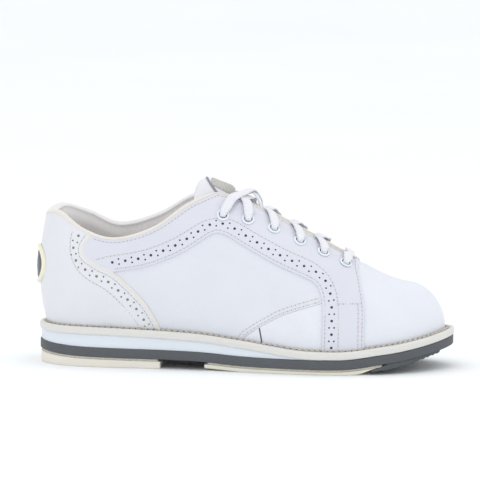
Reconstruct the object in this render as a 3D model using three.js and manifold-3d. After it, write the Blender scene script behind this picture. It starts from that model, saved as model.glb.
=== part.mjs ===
// Right bowling shoe, in millimetres. +X points to the toe, -Y to the outer side, +Z up, ground at z = 0.
import * as THREE from 'three';
import { mergeVertices } from 'three/addons/utils/BufferGeometryUtils.js';
import Module from 'manifold-3d';

const wasm = await Module();
wasm.setup();

// Overall sizes. The pattern tables below are drawn for the pattern sizes and graded to these.
const PATTERN_LENGTH = 280;
const PATTERN_WIDTH = 102;
const SOLE_LENGTH = 280;
const BALL_WIDTH = 102;

// Sole stack.
const BAND_THICKNESS = 6.3;
const WELT_THICKNESS = 5.4;
const WELT_WIDTH = 6;
const WELT_LAP = 9;
const PAD_THICKNESS = 2.4;
const HOOK_THICKNESS = 1.2;
const HEEL_PAD_FRONT = -56;
const SOLE_PAD_REAR = -26;
const SOLE_PAD_FRONT = 96;
const BEVEL_ANGLE = 20;
const TOE_PAD_FRONT = 131;
const WEDGE_FRONT = 28;
const INSOLE_THICKNESS = 2.4;
const FOOTBED_THICKNESS = 4;
const SHANK_LENGTH = 92;
const SHANK_WIDTH = 14;
const SHANK_THICKNESS = 1.5;
const SHANK_MIDDLE = -30;
const PAD_INSET = 1.2;
const GAP = 0.3;

// Upper layers, as depths along the surface normal. Positive is outwards.
const LEATHER = 1.4;
const OVERLAY = 1.3;
const STIFFENER = 1.3;
const LINING = 1.2;
const BINDING_RISE = 1.8;
const BINDING_SEAT = 0.5;
const THROAT_HALF_WIDTH = 9;
const THROAT_FRONT = 70;

// Heel badge.
const BADGE_HEIGHT = 21.5;
const BADGE_WIDTH = 26;
const BADGE_MIDDLE = 66;
const BADGE_RIM = 2.4;
const BADGE_THICKNESS = 1.2;

// Eyelets and lace.
const EYELET_X = [-16, 1, 18, 35.5, 51.5, 66.5];
const EYELET_Y = 20;
const EYELET_BORE = 2.6;
const EYELET_WALL = 0.5;
const EYELET_FLANGE = 4.3;
const EYELET_FLANGE_THICKNESS = 0.7;
const LACE_WIDTH = 6.8;
const LACE_CROSSING_WIDTH = 5;
const LACE_DIVE_WIDTH = 3.8;
const LACE_END = 17;
const LACE_THICKNESS = 1.3;
const LACE_GATHERED_WIDTH = 3.2;
const AGLET_LENGTH = 9;
const AGLET_WIDTH = 3.4;
const AGLET_THICKNESS = 1.8;
const LACE_GATHERED_THICKNESS = 1.9;

// Tongue.
const TONGUE_TOP_X = -27;
const TONGUE_ROOT_X = 76;
const TONGUE_TOP_HALF_WIDTH = 18.5;
const TONGUE_ROOT_HALF_WIDTH = 17;
const TONGUE_CURVE = 17;
const TONGUE_LINING = 1.2;
const TONGUE_PADDING = 3.4;
const TONGUE_SHELL = 1.3;

const COLUMNS_PER_STATION = 2;
const ROWS = 6;

const gradeX = SOLE_LENGTH / PATTERN_LENGTH;
const gradeY = BALL_WIDTH / PATTERN_WIDTH;
const PATTERN_STACK = 11.7;
const lift = BAND_THICKNESS + WELT_THICKNESS - PATTERN_STACK;

// Pattern stations, from the heel along the outer side to the toe and back along the inner side.
// sole: outer edge x, y.  wall: bulge past the feather line, rise.  crown: the handle at the top edge.
// top: the collar line around the ankle, then the instep ridge, where both sides share one line.
const STATIONS = [
  { sole: [-140, 0], wall: [7.5, 26], crown: [5.5, -26], top: [-135, 0, 100] },
  { sole: [-132.5, -20], wall: [8, 24], crown: [5, -26], top: [-127, -16.5, 102.5] },
  { sole: [-113, -31.5], wall: [9, 22], crown: [6, -22], top: [-109, -25.5, 91.5] },
  { sole: [-84, -35], wall: [9, 20], crown: [6, -20], top: [-88, -28, 86.3] },
  { sole: [-50, -36.5], wall: [7, 22], crown: [6, -22], top: [-62, -27, 94] },
  { sole: [-12, -42.5], wall: [4, 26], crown: [7, -20], top: [-37, -21, 111] },
  { sole: [28, -49.5], wall: [4, 26], crown: [8, -24, -3], top: [-14, 0, 118] },
  { sole: [63, -51], wall: [5, 22], crown: [8, -27, -1], top: [24, 1, 98] },
  { sole: [97, -42], wall: [5, 20], crown: [10, -29, 2], top: [61, 3, 76.5] },
  { sole: [125, -22], wall: [3, 18], crown: [13, -19, 3], top: [88, 5, 61] },
  { sole: [140, 8], wall: [0.5, 17], crown: [15, 0, 2.4], top: [106, 6.5, 57.3] },
  { sole: [129, 36], wall: [3, 17.5], crown: [12, 18, 2.5], top: [88, 5, 61] },
  { sole: [101, 49], wall: [5, 19], crown: [8, 27, 1], top: [61, 3, 76.5] },
  { sole: [67, 49], wall: [5, 22], crown: [6, 26, -1], top: [24, 1, 98] },
  { sole: [32, 40.5], wall: [5, 27], crown: [6, 24, -3], top: [-14, 0, 118] },
  { sole: [-8, 32], wall: [5, 28], crown: [7, -20], top: [-37, 20.5, 112.5] },
  { sole: [-48, 30.5], wall: [7, 24], crown: [6, -22], top: [-62, 26, 98] },
  { sole: [-84, 33], wall: [9, 22], crown: [6, -22], top: [-88, 27.5, 91] },
  { sole: [-113, 30.5], wall: [9, 22], crown: [6, -24], top: [-109, 24, 99] },
  { sole: [-132.5, 19], wall: [8, 24], crown: [5, -26], top: [-127, 15.5, 104.5] },
];
const COUNT = STATIONS.length;
const RIDGE_START = 6;
const TOE = 10;

// Heights along the sole, as [x, z].
const BAND_TOP = [[-140, 15.6], [-125, 14.2], [-106, 13.4], [-56, 12.7], [-26, 12.1], [-2, 10.6], [28, 10],
  [65, 10], [77, 11], [89, 12.7], [102, 14.2], [118, 17], [134, 20.4], [140, 22]];
const WEDGE = [
  [-140, 6.6], [-106, 8.2], [-58, 7.5], [-2, 5.2], [20, 2.6], [38, 0.5], [60, 0], [80, 0], [140, 0],
];
const TOE_PAD = [[80, 4.2], [93, 3.9], [110, 3.2], [118, 2.2], [126, 1.4], [140, 0.9]];

const white = new THREE.Color('#e3e6ee');
const cream = new THREE.Color('#e4e0d4');
const rubber = new THREE.Color('#64696d');

function heightAt(knots, x) {
  const graded = x / gradeX;
  const last = knots.length - 1;
  if (graded <= knots[0][0]) return knots[0][1];
  if (graded >= knots[last][0]) return knots[last][1];
  let i = 0;
  while (graded > knots[i + 1][0]) i += 1;
  const slope = (k) => {
    const a = knots[Math.max(k - 1, 0)];
    const b = knots[Math.min(k + 1, last)];
    return (b[1] - a[1]) / (b[0] - a[0]);
  };
  const h = knots[i + 1][0] - knots[i][0];
  const t = (graded - knots[i][0]) / h;
  const rise = (2 * t ** 3 - 3 * t ** 2 + 1) * knots[i][1] + (3 * t ** 2 - 2 * t ** 3) * knots[i + 1][1];
  return rise + (t ** 3 - 2 * t ** 2 + t) * h * slope(i) + (t ** 3 - t ** 2) * h * slope(i + 1);
}

const bandBottom = (x) => heightAt(BAND_TOP, x) - BAND_THICKNESS;
const bandTop = (x) => bandBottom(x) + BAND_THICKNESS;
const wedgeTop = (x) => bandTop(x) + Math.max(heightAt(WEDGE, x), 0);
const weltTop = (x) => wedgeTop(x) + WELT_THICKNESS;

// Catmull-Rom through a list of Vector3, closed or open, at station number u.
function along(points, u, closed) {
  const n = points.length;
  const i = Math.min(Math.floor(u), closed ? n - 1 : n - 2);
  const t = u - i;
  const pick = (k) => (closed ? points[(k + n) % n] : points[Math.min(Math.max(k, 0), n - 1)]);
  const [a, b, c, d] = [pick(i - 1), pick(i), pick(i + 1), pick(i + 2)];
  const blend = (k) => {
    const m0 = (c[k] - a[k]) / 2;
    const m1 = (d[k] - b[k]) / 2;
    const line = (2 * t ** 3 - 3 * t ** 2 + 1) * b[k] + (3 * t ** 2 - 2 * t ** 3) * c[k];
    return line + (t ** 3 - 2 * t ** 2 + t) * m0 + (t ** 3 - t ** 2) * m1;
  };
  return new THREE.Vector3(blend('x'), blend('y'), blend('z'));
}

const solePoints = STATIONS.map(({ sole: [x, y] }) => new THREE.Vector3(x * gradeX, y * gradeY, 0));
const wrap = (u) => ((u % COUNT) + COUNT) % COUNT;

function outwardAt(u) {
  const ahead = along(solePoints, wrap(u + 0.05), true);
  const tangent = ahead.sub(along(solePoints, wrap(u - 0.05), true)).normalize();
  return new THREE.Vector3(tangent.y, -tangent.x, 0);
}

function outlineAt(u, inset) {
  return along(solePoints, wrap(u), true).addScaledVector(outwardAt(u), -inset);
}

function featherAt(u) {
  const point = outlineAt(u, WELT_WIDTH);
  point.z = weltTop(point.x) + GAP;
  return point;
}

const isRidge = (k) => k >= RIDGE_START && k <= COUNT - RIDGE_START;
const graded = (x, y, z) => new THREE.Vector3(x * gradeX, y * gradeY, z + lift);
const topPoints = STATIONS.map(({ top }) => graded(...top));
const crownPoints = STATIONS.map(({ crown, top }, k) => {
  if (isRidge(k)) return graded(top[0] + crown[0], top[1] + crown[1], top[2] + crown[2]);
  return graded(...top).addScaledVector(outwardAt(k), crown[0]).add(new THREE.Vector3(0, 0, crown[1]));
});
const wallPoints = STATIONS.map(({ wall: [bulge, rise] }, k) => {
  return featherAt(k).addScaledVector(outwardAt(k), bulge).add(new THREE.Vector3(0, 0, rise));
});
const ridgePoints = topPoints.slice(RIDGE_START, TOE + 1);
const collarStations = [];
for (let k = COUNT - RIDGE_START; k <= COUNT + RIDGE_START; k += 1) collarStations.push(topPoints[wrap(k)]);

function topAt(u) {
  const v = wrap(u);
  const fromToe = Math.abs(v - TOE);
  if (fromToe <= TOE - RIDGE_START) return along(ridgePoints, TOE - RIDGE_START - fromToe, false);
  return along(collarStations, wrap(v - (COUNT - RIDGE_START)), false);
}

function surfaceAt(u, t) {
  const s = 1 - t;
  const point = featherAt(u).multiplyScalar(s ** 3);
  point.addScaledVector(along(wallPoints, wrap(u), true), 3 * s * s * t);
  point.addScaledVector(along(crownPoints, wrap(u), true), 3 * s * t * t);
  return point.addScaledVector(topAt(u), t ** 3);
}

function normalAt(u, t) {
  const e = 0.02;
  const onRidge = isRidge(wrap(u)) && t > 0.999;
  const low = Math.min(t, 1 - e);
  const around = surfaceAt(u + e, low).sub(surfaceAt(u - e, low));
  const up = surfaceAt(u, low + e).sub(surfaceAt(u, Math.max(low - e, 0)));
  const normal = around.cross(up).normalize();
  if (onRidge) {
    const mirrored = COUNT - wrap(u);
    const back = topAt(Math.min(wrap(u), mirrored) - 0.1);
    const front = topAt(Math.min(wrap(u), mirrored, TOE - 0.1) + 0.1);
    const line = front.sub(back).normalize();
    return new THREE.Vector3(-line.z, 0, line.x).normalize();
  }
  if (t < 0.001) normal.setZ(0).normalize();
  return normal;
}

function solidFromTriangles(positions, indices) {
  const raw = new THREE.BufferGeometry();
  raw.setAttribute('position', new THREE.Float32BufferAttribute(positions, 3));
  raw.setIndex(indices);
  return toSolid(raw);
}

function toSolid(geometry) {
  const bare = geometry.index ? geometry.clone() : geometry;
  bare.deleteAttribute('normal');
  bare.deleteAttribute('uv');
  const merged = mergeVertices(bare, 1e-4);
  const kept = [];
  const index = merged.index.array;
  for (let i = 0; i < index.length; i += 3) {
    const [a, b, c] = [index[i], index[i + 1], index[i + 2]];
    if (a !== b && b !== c && c !== a) kept.push(a, b, c);
  }
  const mesh = new wasm.Mesh({
    numProp: 3,
    vertProperties: new Float32Array(merged.attributes.position.array),
    triVerts: new Uint32Array(kept),
  });
  return new wasm.Manifold(mesh);
}

function toGeometry(solid) {
  const mesh = solid.getMesh();
  const geometry = new THREE.BufferGeometry();
  geometry.setAttribute('position', new THREE.BufferAttribute(new Float32Array(mesh.vertProperties), 3));
  geometry.setIndex(new THREE.BufferAttribute(new Uint32Array(mesh.triVerts), 1));
  geometry.computeVertexNormals();
  return geometry;
}

const shoe = new THREE.Group();

function addPiece(name, solid, color, roughness = 0.6, metalness = 0) {
  const material = new THREE.MeshStandardMaterial({ color, roughness, metalness });
  const mesh = new THREE.Mesh(toGeometry(solid), material);
  mesh.name = name;
  shoe.add(mesh);
}

// The two triangles of a quad between ring steps a-b and c-d. Faces that lie against each other share
// the direction of their diagonal, so layers on one grid stay parallel.
function quad(indices, [a, b, c, d], isFlipped) {
  if (isFlipped) indices.push(a, c, d, a, d, b);
  else indices.push(a, c, b, b, c, d);
}

// A closed solid from a list of rings. Ring steps from flipFrom on flip their diagonal, and the ends are
// strips between the first half of the ring and the second.
function solidFromRings(rings, flipFrom = Infinity) {
  const positions = [];
  const indices = [];
  const size = rings[0].length;
  rings.forEach((ring) => ring.forEach((p) => positions.push(p.x, p.y, p.z)));
  for (let i = 0; i < rings.length - 1; i += 1) {
    for (let j = 0; j < size; j += 1) {
      const next = (j + 1) % size;
      const corners = [i * size + j, i * size + next, (i + 1) * size + j, (i + 1) * size + next];
      quad(indices, corners, j >= flipFrom);
    }
  }
  const end = (rings.length - 1) * size;
  for (let j = 0; j < size / 2 - 1; j += 1) {
    const [a, b, c, d] = [j, j + 1, size - 2 - j, size - 1 - j];
    indices.push(a, b, c, a, c, d);
    indices.push(end + a, end + c, end + b, end + a, end + d, end + c);
  }
  const solid = solidFromTriangles(positions, indices);
  if (solid.volume() > 0) return solid;
  return solidFromTriangles(positions, indices.reverse());
}

const COLUMNS = COUNT * COLUMNS_PER_STATION;

// Shell of the upper between two depths, from the feather line to the collar line and the ridge.
function upperLayer(outer, inner) {
  const depth = (limit, u, t) => (typeof limit === 'function' ? limit(u, t) : limit);
  const rings = [];
  for (let i = 0; i < COLUMNS; i += 1) {
    const u = i / COLUMNS_PER_STATION;
    const ring = [];
    for (let j = 0; j <= ROWS; j += 1) {
      const t = j / ROWS;
      ring.push(surfaceAt(u, t).addScaledVector(normalAt(u, t), depth(outer, u, t)));
    }
    for (let j = ROWS; j >= 0; j -= 1) {
      const t = j / ROWS;
      ring.push(surfaceAt(u, t).addScaledVector(normalAt(u, t), depth(inner, u, t)));
    }
    rings.push(ring);
  }
  return shellFromRings(rings);
}

// Rings whose top edges meet on the ridge share those points, so the ridge has no end wall.
function shellFromRings(rings) {
  const positions = [];
  const indices = [];
  const size = rings[0].length;
  rings.forEach((ring) => ring.forEach((p) => positions.push(p.x, p.y, p.z)));
  const ridgeColumn = (i) => isRidge(wrap(i / COLUMNS_PER_STATION));
  for (let i = 0; i < rings.length; i += 1) {
    const next = (i + 1) % rings.length;
    for (let j = 0; j < size; j += 1) {
      const closesTop = j === ROWS;
      if (closesTop && ridgeColumn(i) && ridgeColumn(next)) continue;
      const step = (j + 1) % size;
      quad(indices, [i * size + j, i * size + step, next * size + j, next * size + step], j > ROWS);
    }
  }
  const solid = solidFromTriangles(positions, indices);
  if (solid.volume() > 0) return solid;
  return solidFromTriangles(positions, indices.reverse());
}

const SIDE_REACH = 90;

// Prism along Y of an outline given as [x, z] pattern points.
function sidePrism(points, yFrom, yTo) {
  const shape = new THREE.Shape(points.map(([x, z]) => new THREE.Vector2(x * gradeX, z + lift)));
  const geometry = new THREE.ExtrudeGeometry(shape, { depth: yTo - yFrom, bevelEnabled: false });
  geometry.rotateX(Math.PI / 2);
  geometry.translate(0, yTo, 0);
  return toSolid(geometry);
}

const outerSide = (points) => sidePrism(points, -SIDE_REACH, -GAP / 2);
const innerSide = (points) => sidePrism(points, GAP / 2, SIDE_REACH);

// Prism along Z of an outline given as [x, y] points, from zFrom to zTo.
function planPrism(points, zFrom, zTo) {
  const shape = new THREE.Shape(points.map(([x, y]) => new THREE.Vector2(x, y)));
  const geometry = new THREE.ExtrudeGeometry(shape, { depth: zTo - zFrom, bevelEnabled: false });
  geometry.translate(0, 0, zFrom);
  return toSolid(geometry);
}

// Slab of the sole between two heights, over the whole outline or a stretch of it.
function soleSlab(inset, bottom, top) {
  const rings = [];
  for (let i = 0; i <= COLUMNS / 2; i += 1) {
    const u = i / COLUMNS_PER_STATION;
    const outer = outlineAt(u, inset);
    const inner = outlineAt(COUNT - u, inset);
    const lowOuter = outer.clone().setZ(bottom(outer.x));
    const lowInner = inner.clone().setZ(bottom(inner.x));
    const highOuter = outer.clone().setZ(top(outer.x));
    const highInner = inner.clone().setZ(top(inner.x));
    rings.push([lowOuter, lowInner, highInner, highOuter]);
  }
  return solidFromRings(rings, 2);
}

const FAR = 400;
const behind = (x) => {
  const edge = x / gradeX;
  return sidePrism([[-FAR, -FAR], [edge, -FAR], [edge, FAR], [-FAR, FAR]], -FAR, FAR);
};
const ahead = (x) => sidePrism([[x / gradeX, -FAR], [FAR, -FAR], [FAR, FAR], [x / gradeX, FAR]], -FAR, FAR);

function buildSole() {
  const band = soleSlab(0.5, bandBottom, (x) => bandTop(x));
  addPiece('outsole_band', band, rubber, 0.7);
  const wedge = soleSlab(1.5, (x) => bandTop(x) + GAP, (x) => Math.max(wedgeTop(x), bandTop(x) + 2 * GAP));
  addPiece('midsole_wedge', wedge.intersect(behind(WEDGE_FRONT * gradeX)), '#dfe7ee', 0.7);
  const weltBottom = (x) => wedgeTop(x) + GAP;
  const welt = soleSlab(0, weltBottom, weltTop);
  const fillerInset = WELT_WIDTH + WELT_LAP;
  const fillerRoom = soleSlab(fillerInset - GAP, (x) => weltBottom(x) - 20, (x) => weltTop(x) + 20);
  addPiece('welt', welt.subtract(fillerRoom), cream, 0.7);
  const filler = soleSlab(fillerInset, weltBottom, weltTop);
  const shankMiddle = SHANK_MIDDLE * gradeX;
  const shankRoom = shankBlock(shankMiddle, GAP, SHANK_THICKNESS + GAP);
  addPiece('sole_filler', filler.subtract(shankRoom), '#b79a6b', 0.9);
  addPiece('steel_shank', shankBlock(shankMiddle, 0, 0), '#8f959b', 0.35, 1);
}

// The shank lies in a pocket in the top of the filler.
function shankBlock(middle, clearance, headroom) {
  const half = SHANK_LENGTH / 2 + clearance;
  const wide = SHANK_WIDTH / 2 + clearance;
  const rings = [];
  const steps = 8;
  for (let i = 0; i <= steps; i += 1) {
    const x = middle - half + (2 * half * i) / steps;
    const top = weltTop(x) - (headroom > 0 ? -GAP : 0);
    const bottom = weltTop(x) - SHANK_THICKNESS - clearance;
    rings.push([
      new THREE.Vector3(x, -wide, bottom), new THREE.Vector3(x, wide, bottom),
      new THREE.Vector3(x, wide, top), new THREE.Vector3(x, -wide, top),
    ]);
  }
  return solidFromRings(rings);
}

const padCutSlope = Math.tan(THREE.MathUtils.degToRad(BEVEL_ANGLE));

// Everything on the rear and upper side of the bevel that parts the sliding sole from the toe piece.
function bevelPrism(offset) {
  const tipX = SOLE_PAD_FRONT;
  const tipZ = bandBottom(SOLE_PAD_FRONT * gradeX) - lift - GAP;
  const run = 60;
  const shift = offset / Math.sin(THREE.MathUtils.degToRad(BEVEL_ANGLE));
  return sidePrism([
    [-FAR, FAR], [-FAR, tipZ - run * padCutSlope - 60], [tipX - run - shift, tipZ - run * padCutSlope - 60],
    [tipX - run - shift, tipZ - run * padCutSlope],
    [tipX - shift, tipZ],
    [tipX - shift + 4, tipZ + 4 * padCutSlope],
    [tipX - shift + 4, FAR],
  ], -FAR, FAR);
}

function buildPads() {
  const hookTop = (x) => bandBottom(x) - GAP;
  const hookBottom = (x) => hookTop(x) - HOOK_THICKNESS;
  const ground = (x) => Math.max(hookBottom(x) - GAP - PAD_THICKNESS, 0);
  const bevel = bevelPrism(0);
  const front = ahead(SOLE_PAD_REAR * gradeX);
  const hookRear = ahead((SOLE_PAD_REAR + 2) * gradeX);
  const reach = behind((SOLE_PAD_FRONT + 4) * gradeX);
  const sole = soleSlab(PAD_INSET, ground, (x) => hookBottom(x) - GAP);
  const soleBody = bevelPrism(GAP);
  addPiece('sole_pad', sole.intersect(front).intersect(reach).intersect(soleBody), '#ebe9da', 0.85);
  const hook = soleSlab(PAD_INSET + 0.6, hookBottom, hookTop);
  addPiece('sole_pad_hook', hook.intersect(hookRear).intersect(reach).intersect(soleBody), '#d9d5c6', 0.9);
  const toeTop = (x) => bandBottom(x) - GAP;
  const toe = soleSlab(PAD_INSET, (x) => toeTop(x) - heightAt(TOE_PAD, x), toeTop);
  const toeFront = behind(TOE_PAD_FRONT * gradeX);
  const toeZone = ahead((SOLE_PAD_FRONT - 24) * gradeX);
  addPiece('toe_traction_pad', toe.intersect(toeFront).intersect(toeZone).subtract(bevel), rubber, 0.8);
  const heelRear = behind(HEEL_PAD_FRONT * gradeX);
  const heel = soleSlab(PAD_INSET, () => 0, (x) => hookBottom(x) - GAP);
  addPiece('heel_pad', heel.intersect(heelRear), '#e5e1d6', 0.8);
  const heelHook = soleSlab(PAD_INSET + 0.6, hookBottom, hookTop);
  addPiece('heel_pad_hook', heelHook.intersect(heelRear), '#d9d5c6', 0.9);
}

const LINING_OUTER = -LEATHER - STIFFENER - 2 * GAP;
const LINING_INNER = LINING_OUTER - LINING;

function buildInsole() {
  const inset = WELT_WIDTH - LINING_INNER + 2 * GAP;
  const boardBottom = (x) => weltTop(x) + GAP;
  const boardTop = (x) => boardBottom(x) + INSOLE_THICKNESS;
  addPiece('insole_board', soleSlab(inset, boardBottom, boardTop), '#c9b48e', 0.9);
  const bedTop = (x) => boardTop(x) + GAP + FOOTBED_THICKNESS;
  addPiece('footbed', soleSlab(inset + GAP, (x) => boardTop(x) + GAP, bedTop), '#d8d4cf', 0.95);
}

// Pattern lines, as [x, z] seen from the side.
const SADDLE_LOWER = [[-67.4, 68.4], [-45, 77], [-30.8, 85.6], [-24, 90], [-19, 91.3], [-13, 89.7],
  [-2.2, 83.8], [21.5, 71.4], [44, 61.6], [49, 57.5], [51.6, 51], [52.5, 44], [52.8, 5]];
const TAB_REAR = 62.4;
const TAB_FRONT = 80.5;
const SADDLE_FRONT = [[TAB_FRONT, 5], [TAB_FRONT, 40], [79.5, 49], [77.5, 58], [76, 64], [74, 71], [72, 90]];
const FOXING_FRONT = [[-104, 110], [-104.5, 89], [-109, 80.5], [-108, 74.5], [-99, 68.3], [-88, 63.2],
  [-76.4, 53.3], [-66.3, 42.5], [-57.2, 26], [-54, 5]];
const VAMP_REAR = [[-6, 5], [-0.2, 21.6], [6, 27], [13.6, 32], [25.6, 38.6], [38, 43], [49.4, 46.4],
  [62, 51], [72.5, 58], [75, 68], [76, 110]];
const SEAM_HEIGHT = 46.6;
const TOE_PUFF_REAR = 100;
const COUNTER_FRONT = -92;
const COUNTER_TOP = 76;
const COLLAR_PAD_FRONT = -40;
const COLLAR_PAD_LOW = 74;

const shiftPoints = (points, dx, dz) => points.map(([x, z]) => [x + dx, z + dz]);

function throatPrism() {
  const half = THROAT_HALF_WIDTH;
  const front = THROAT_FRONT * gradeX;
  const arc = [];
  for (let i = 0; i <= 6; i += 1) {
    const angle = -Math.PI / 2 + (Math.PI * i) / 6;
    arc.push([front - half + half * Math.cos(angle), 2 + half * Math.sin(angle)]);
  }
  return planPrism([[-60 * gradeX, -half], ...arc, [-60 * gradeX, half]], 50 + lift, 200 + lift);
}

// Grid of surface samples over the instep, used to find the surface under a plan position.
const instep = [];
for (let i = 0; i <= 84; i += 1) {
  for (const side of [-1, 1]) {
    const walked = RIDGE_START - 1.2 + (5 * i) / 84;
    const u = side < 0 ? walked : COUNT - walked;
    for (let j = 0; j <= 30; j += 1) {
      const t = 0.4 + (0.6 * j) / 30;
      instep.push({ u, t, point: surfaceAt(u, t) });
    }
  }
}

// Point and normal of the pattern surface at plan position x, y, lifted by depth along the normal.
function instepAt(x, y, depth) {
  const miss = (sample) => Math.hypot(sample.point.x - x, sample.point.y - y);
  const sameSide = instep.filter((sample) => (y < 0 ? sample.u <= TOE : sample.u >= TOE));
  let best = sameSide.reduce((a, b) => (miss(a) <= miss(b) ? a : b));
  let step = 0.02;
  for (let round = 0; round < 5; round += 1) {
    for (const [du, dt] of [[step, 0], [-step, 0], [0, step / 2], [0, -step / 2]]) {
      const t = Math.min(Math.max(best.t + dt, 0), 1);
      const next = { u: best.u + du, t, point: surfaceAt(best.u + du, t) };
      if (miss(next) < miss(best)) best = next;
    }
    step *= 0.6;
  }
  const normal = normalAt(best.u, best.t);
  return { point: best.point.clone().addScaledVector(normal, depth), normal };
}

const eyelets = [-1, 1].map((side) => EYELET_X.map((x) => instepAt(x * gradeX, side * EYELET_Y * gradeY, 0)));
const BARREL_DEPTH = -LINING_INNER + GAP;
const OVERLAY_TOP = GAP + OVERLAY;

function placedLathe(profile, frame, segments) {
  const geometry = new THREE.LatheGeometry(profile.map(([r, h]) => new THREE.Vector2(r, h)), segments);
  const turn = new THREE.Quaternion().setFromUnitVectors(new THREE.Vector3(0, 1, 0), frame.normal);
  geometry.applyQuaternion(turn);
  geometry.translate(frame.point.x, frame.point.y, frame.point.z);
  return toSolid(geometry);
}

function eyeletDrill(frame) {
  const r = EYELET_BORE + EYELET_WALL + GAP;
  return placedLathe([[0, -12], [r, -12], [r, 8], [0, 8]], frame, 10);
}

function buildEyelets() {
  const names = ['outer', 'inner'];
  eyelets.forEach((row, s) => row.forEach((frame, k) => {
    const bore = EYELET_BORE;
    const barrel = EYELET_BORE + EYELET_WALL;
    const seat = OVERLAY_TOP + GAP;
    const crest = seat + EYELET_FLANGE_THICKNESS;
    const solid = placedLathe([
      [bore, -BARREL_DEPTH], [barrel, -BARREL_DEPTH], [barrel, seat], [EYELET_FLANGE, seat],
      [EYELET_FLANGE - 0.3, crest - 0.15], [bore + 0.5, crest], [bore, seat], [bore, -BARREL_DEPTH],
    ], frame, 10);
    addPiece(`eyelet_${names[s]}_${k + 1}`, solid, '#e9edf2', 0.25, 0.2);
  }));
}

function withoutEyelets(solid, rows) {
  let result = solid;
  rows.forEach((row) => row.forEach((frame) => {
    result = result.subtract(eyeletDrill(frame));
  }));
  return result;
}

function buildUpper() {
  const throat = throatPrism();
  const leather = upperLayer(0, -LEATHER).subtract(throat);
  const overlay = upperLayer(OVERLAY_TOP, GAP).subtract(throat);
  const stiffener = upperLayer(-LEATHER - GAP, -LEATHER - GAP - STIFFENER);
  const lining = upperLayer(LINING_OUTER, LINING_INNER).subtract(throat);

  const vampZone = [...VAMP_REAR, [FAR, 110], [FAR, 5]];
  const vampLine = sidePrism(vampZone, -FAR, FAR);
  addPiece('vamp', leather.intersect(vampLine), white, 0.45);
  const quarterZone = [
    [-FAR, 5], [-6 - 2 * GAP, 5], ...shiftPoints(VAMP_REAR, -2 * GAP, GAP), [76, 200], [-FAR, 200],
  ];
  const quarters = withoutEyelets(leather, eyelets);
  addPiece('quarter_lateral', quarters.intersect(outerSide(quarterZone)), white, 0.45);
  addPiece('quarter_medial', quarters.intersect(innerSide(quarterZone)), white, 0.45);

  const foxingZone = sidePrism([[-FAR, 5], [-FAR, 110], ...FOXING_FRONT], -FAR, FAR);
  addPiece('foxing', overlay.intersect(foxingZone), '#e6e7ea', 0.45);

  const foxingEdge = shiftPoints(FOXING_FRONT.slice(0, 5), 2 * GAP, GAP);
  const saddleZone = [[-104, 200], ...foxingEdge, [-88, 64.3], ...SADDLE_LOWER,
    ...SADDLE_FRONT, [72, 200]];
  const tabZone = [[TAB_REAR, 5], [TAB_FRONT, 5], [TAB_FRONT, SEAM_HEIGHT], [TAB_REAR, SEAM_HEIGHT]];
  const top = SEAM_HEIGHT + GAP;
  const tabRoom = [[TAB_REAR - GAP, -5], [90, -5], [90, top], [TAB_REAR - GAP, top]];
  const saddles = withoutEyelets(overlay, eyelets);
  [['lateral', outerSide], ['medial', innerSide]].forEach(([name, side]) => {
    const saddle = saddles.intersect(side(saddleZone)).subtract(side(tabRoom));
    addPiece(`saddle_${name}`, saddle, '#dde0e8', 0.45);
    addPiece(`side_tab_${name}`, overlay.intersect(side(tabZone)), '#dde0e8', 0.45);
  });

  addPiece('upper_lining', withoutEyelets(lining, eyelets), '#d6d1cd', 0.9);
  addPiece('toe_puff', stiffener.intersect(ahead(TOE_PUFF_REAR * gradeX)), '#cbb890', 0.9);
  const counterZone = [
    [-FAR, 5], [COUNTER_FRONT, 5], [COUNTER_FRONT - 6, 60], [-112, COUNTER_TOP], [-FAR, COUNTER_TOP],
  ];
  addPiece('heel_counter', stiffener.intersect(sidePrism(counterZone, -FAR, FAR)), '#cbb890', 0.9);
  const padZone = [[-FAR, COUNTER_TOP + 2 * GAP], [-112, COUNTER_TOP + 2 * GAP], [-98, COLLAR_PAD_LOW - 4],
    [-70, COLLAR_PAD_LOW], [COLLAR_PAD_FRONT, 92], [COLLAR_PAD_FRONT, 200], [-FAR, 200]];
  addPiece('collar_padding', stiffener.intersect(sidePrism(padZone, -FAR, FAR)), '#e8d9a0', 0.95);
}

// Cream tape folded over the collar edge, from one facing corner around the heel to the other.
function buildCollarBinding() {
  const rings = [];
  const turns = COLUMNS_PER_STATION * (2 * RIDGE_START - 2);
  for (let i = 0; i <= turns; i += 1) {
    const u = COUNT - RIDGE_START + 1 + i / COLUMNS_PER_STATION;
    const edge = surfaceAt(u, 1);
    const up = edge.clone().sub(surfaceAt(u, 0.97)).normalize();
    const out = normalAt(u, 1);
    const corner = (rise, depth) => edge.clone().addScaledVector(up, rise).addScaledVector(out, depth);
    rings.push([
      corner(BINDING_SEAT, LINING_INNER),
      corner(BINDING_SEAT, OVERLAY_TOP),
      corner(BINDING_SEAT + 1, OVERLAY_TOP - 0.2),
      corner(BINDING_SEAT + BINDING_RISE, 0), corner(BINDING_SEAT + BINDING_RISE, LINING_OUTER),
      corner(BINDING_SEAT + 1, LINING_INNER + 0.2),
    ]);
  }
  addPiece('collar_binding', solidFromRings(rings), cream, 0.6);
}

function ovalPrism(height, width, middle) {
  const shape = new THREE.Shape();
  shape.absellipse(0, middle + lift, width / 2, height / 2, 0, 2 * Math.PI);
  const geometry = new THREE.ExtrudeGeometry(shape, { depth: 60, bevelEnabled: false, curveSegments: 10 });
  const basis = new THREE.Matrix4().makeBasis(
    new THREE.Vector3(0, 1, 0), new THREE.Vector3(0, 0, 1), new THREE.Vector3(1, 0, 0),
  );
  geometry.applyMatrix4(basis);
  geometry.translate(-SOLE_LENGTH / 2 - 20, 0, 0);
  return toSolid(geometry);
}

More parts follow.
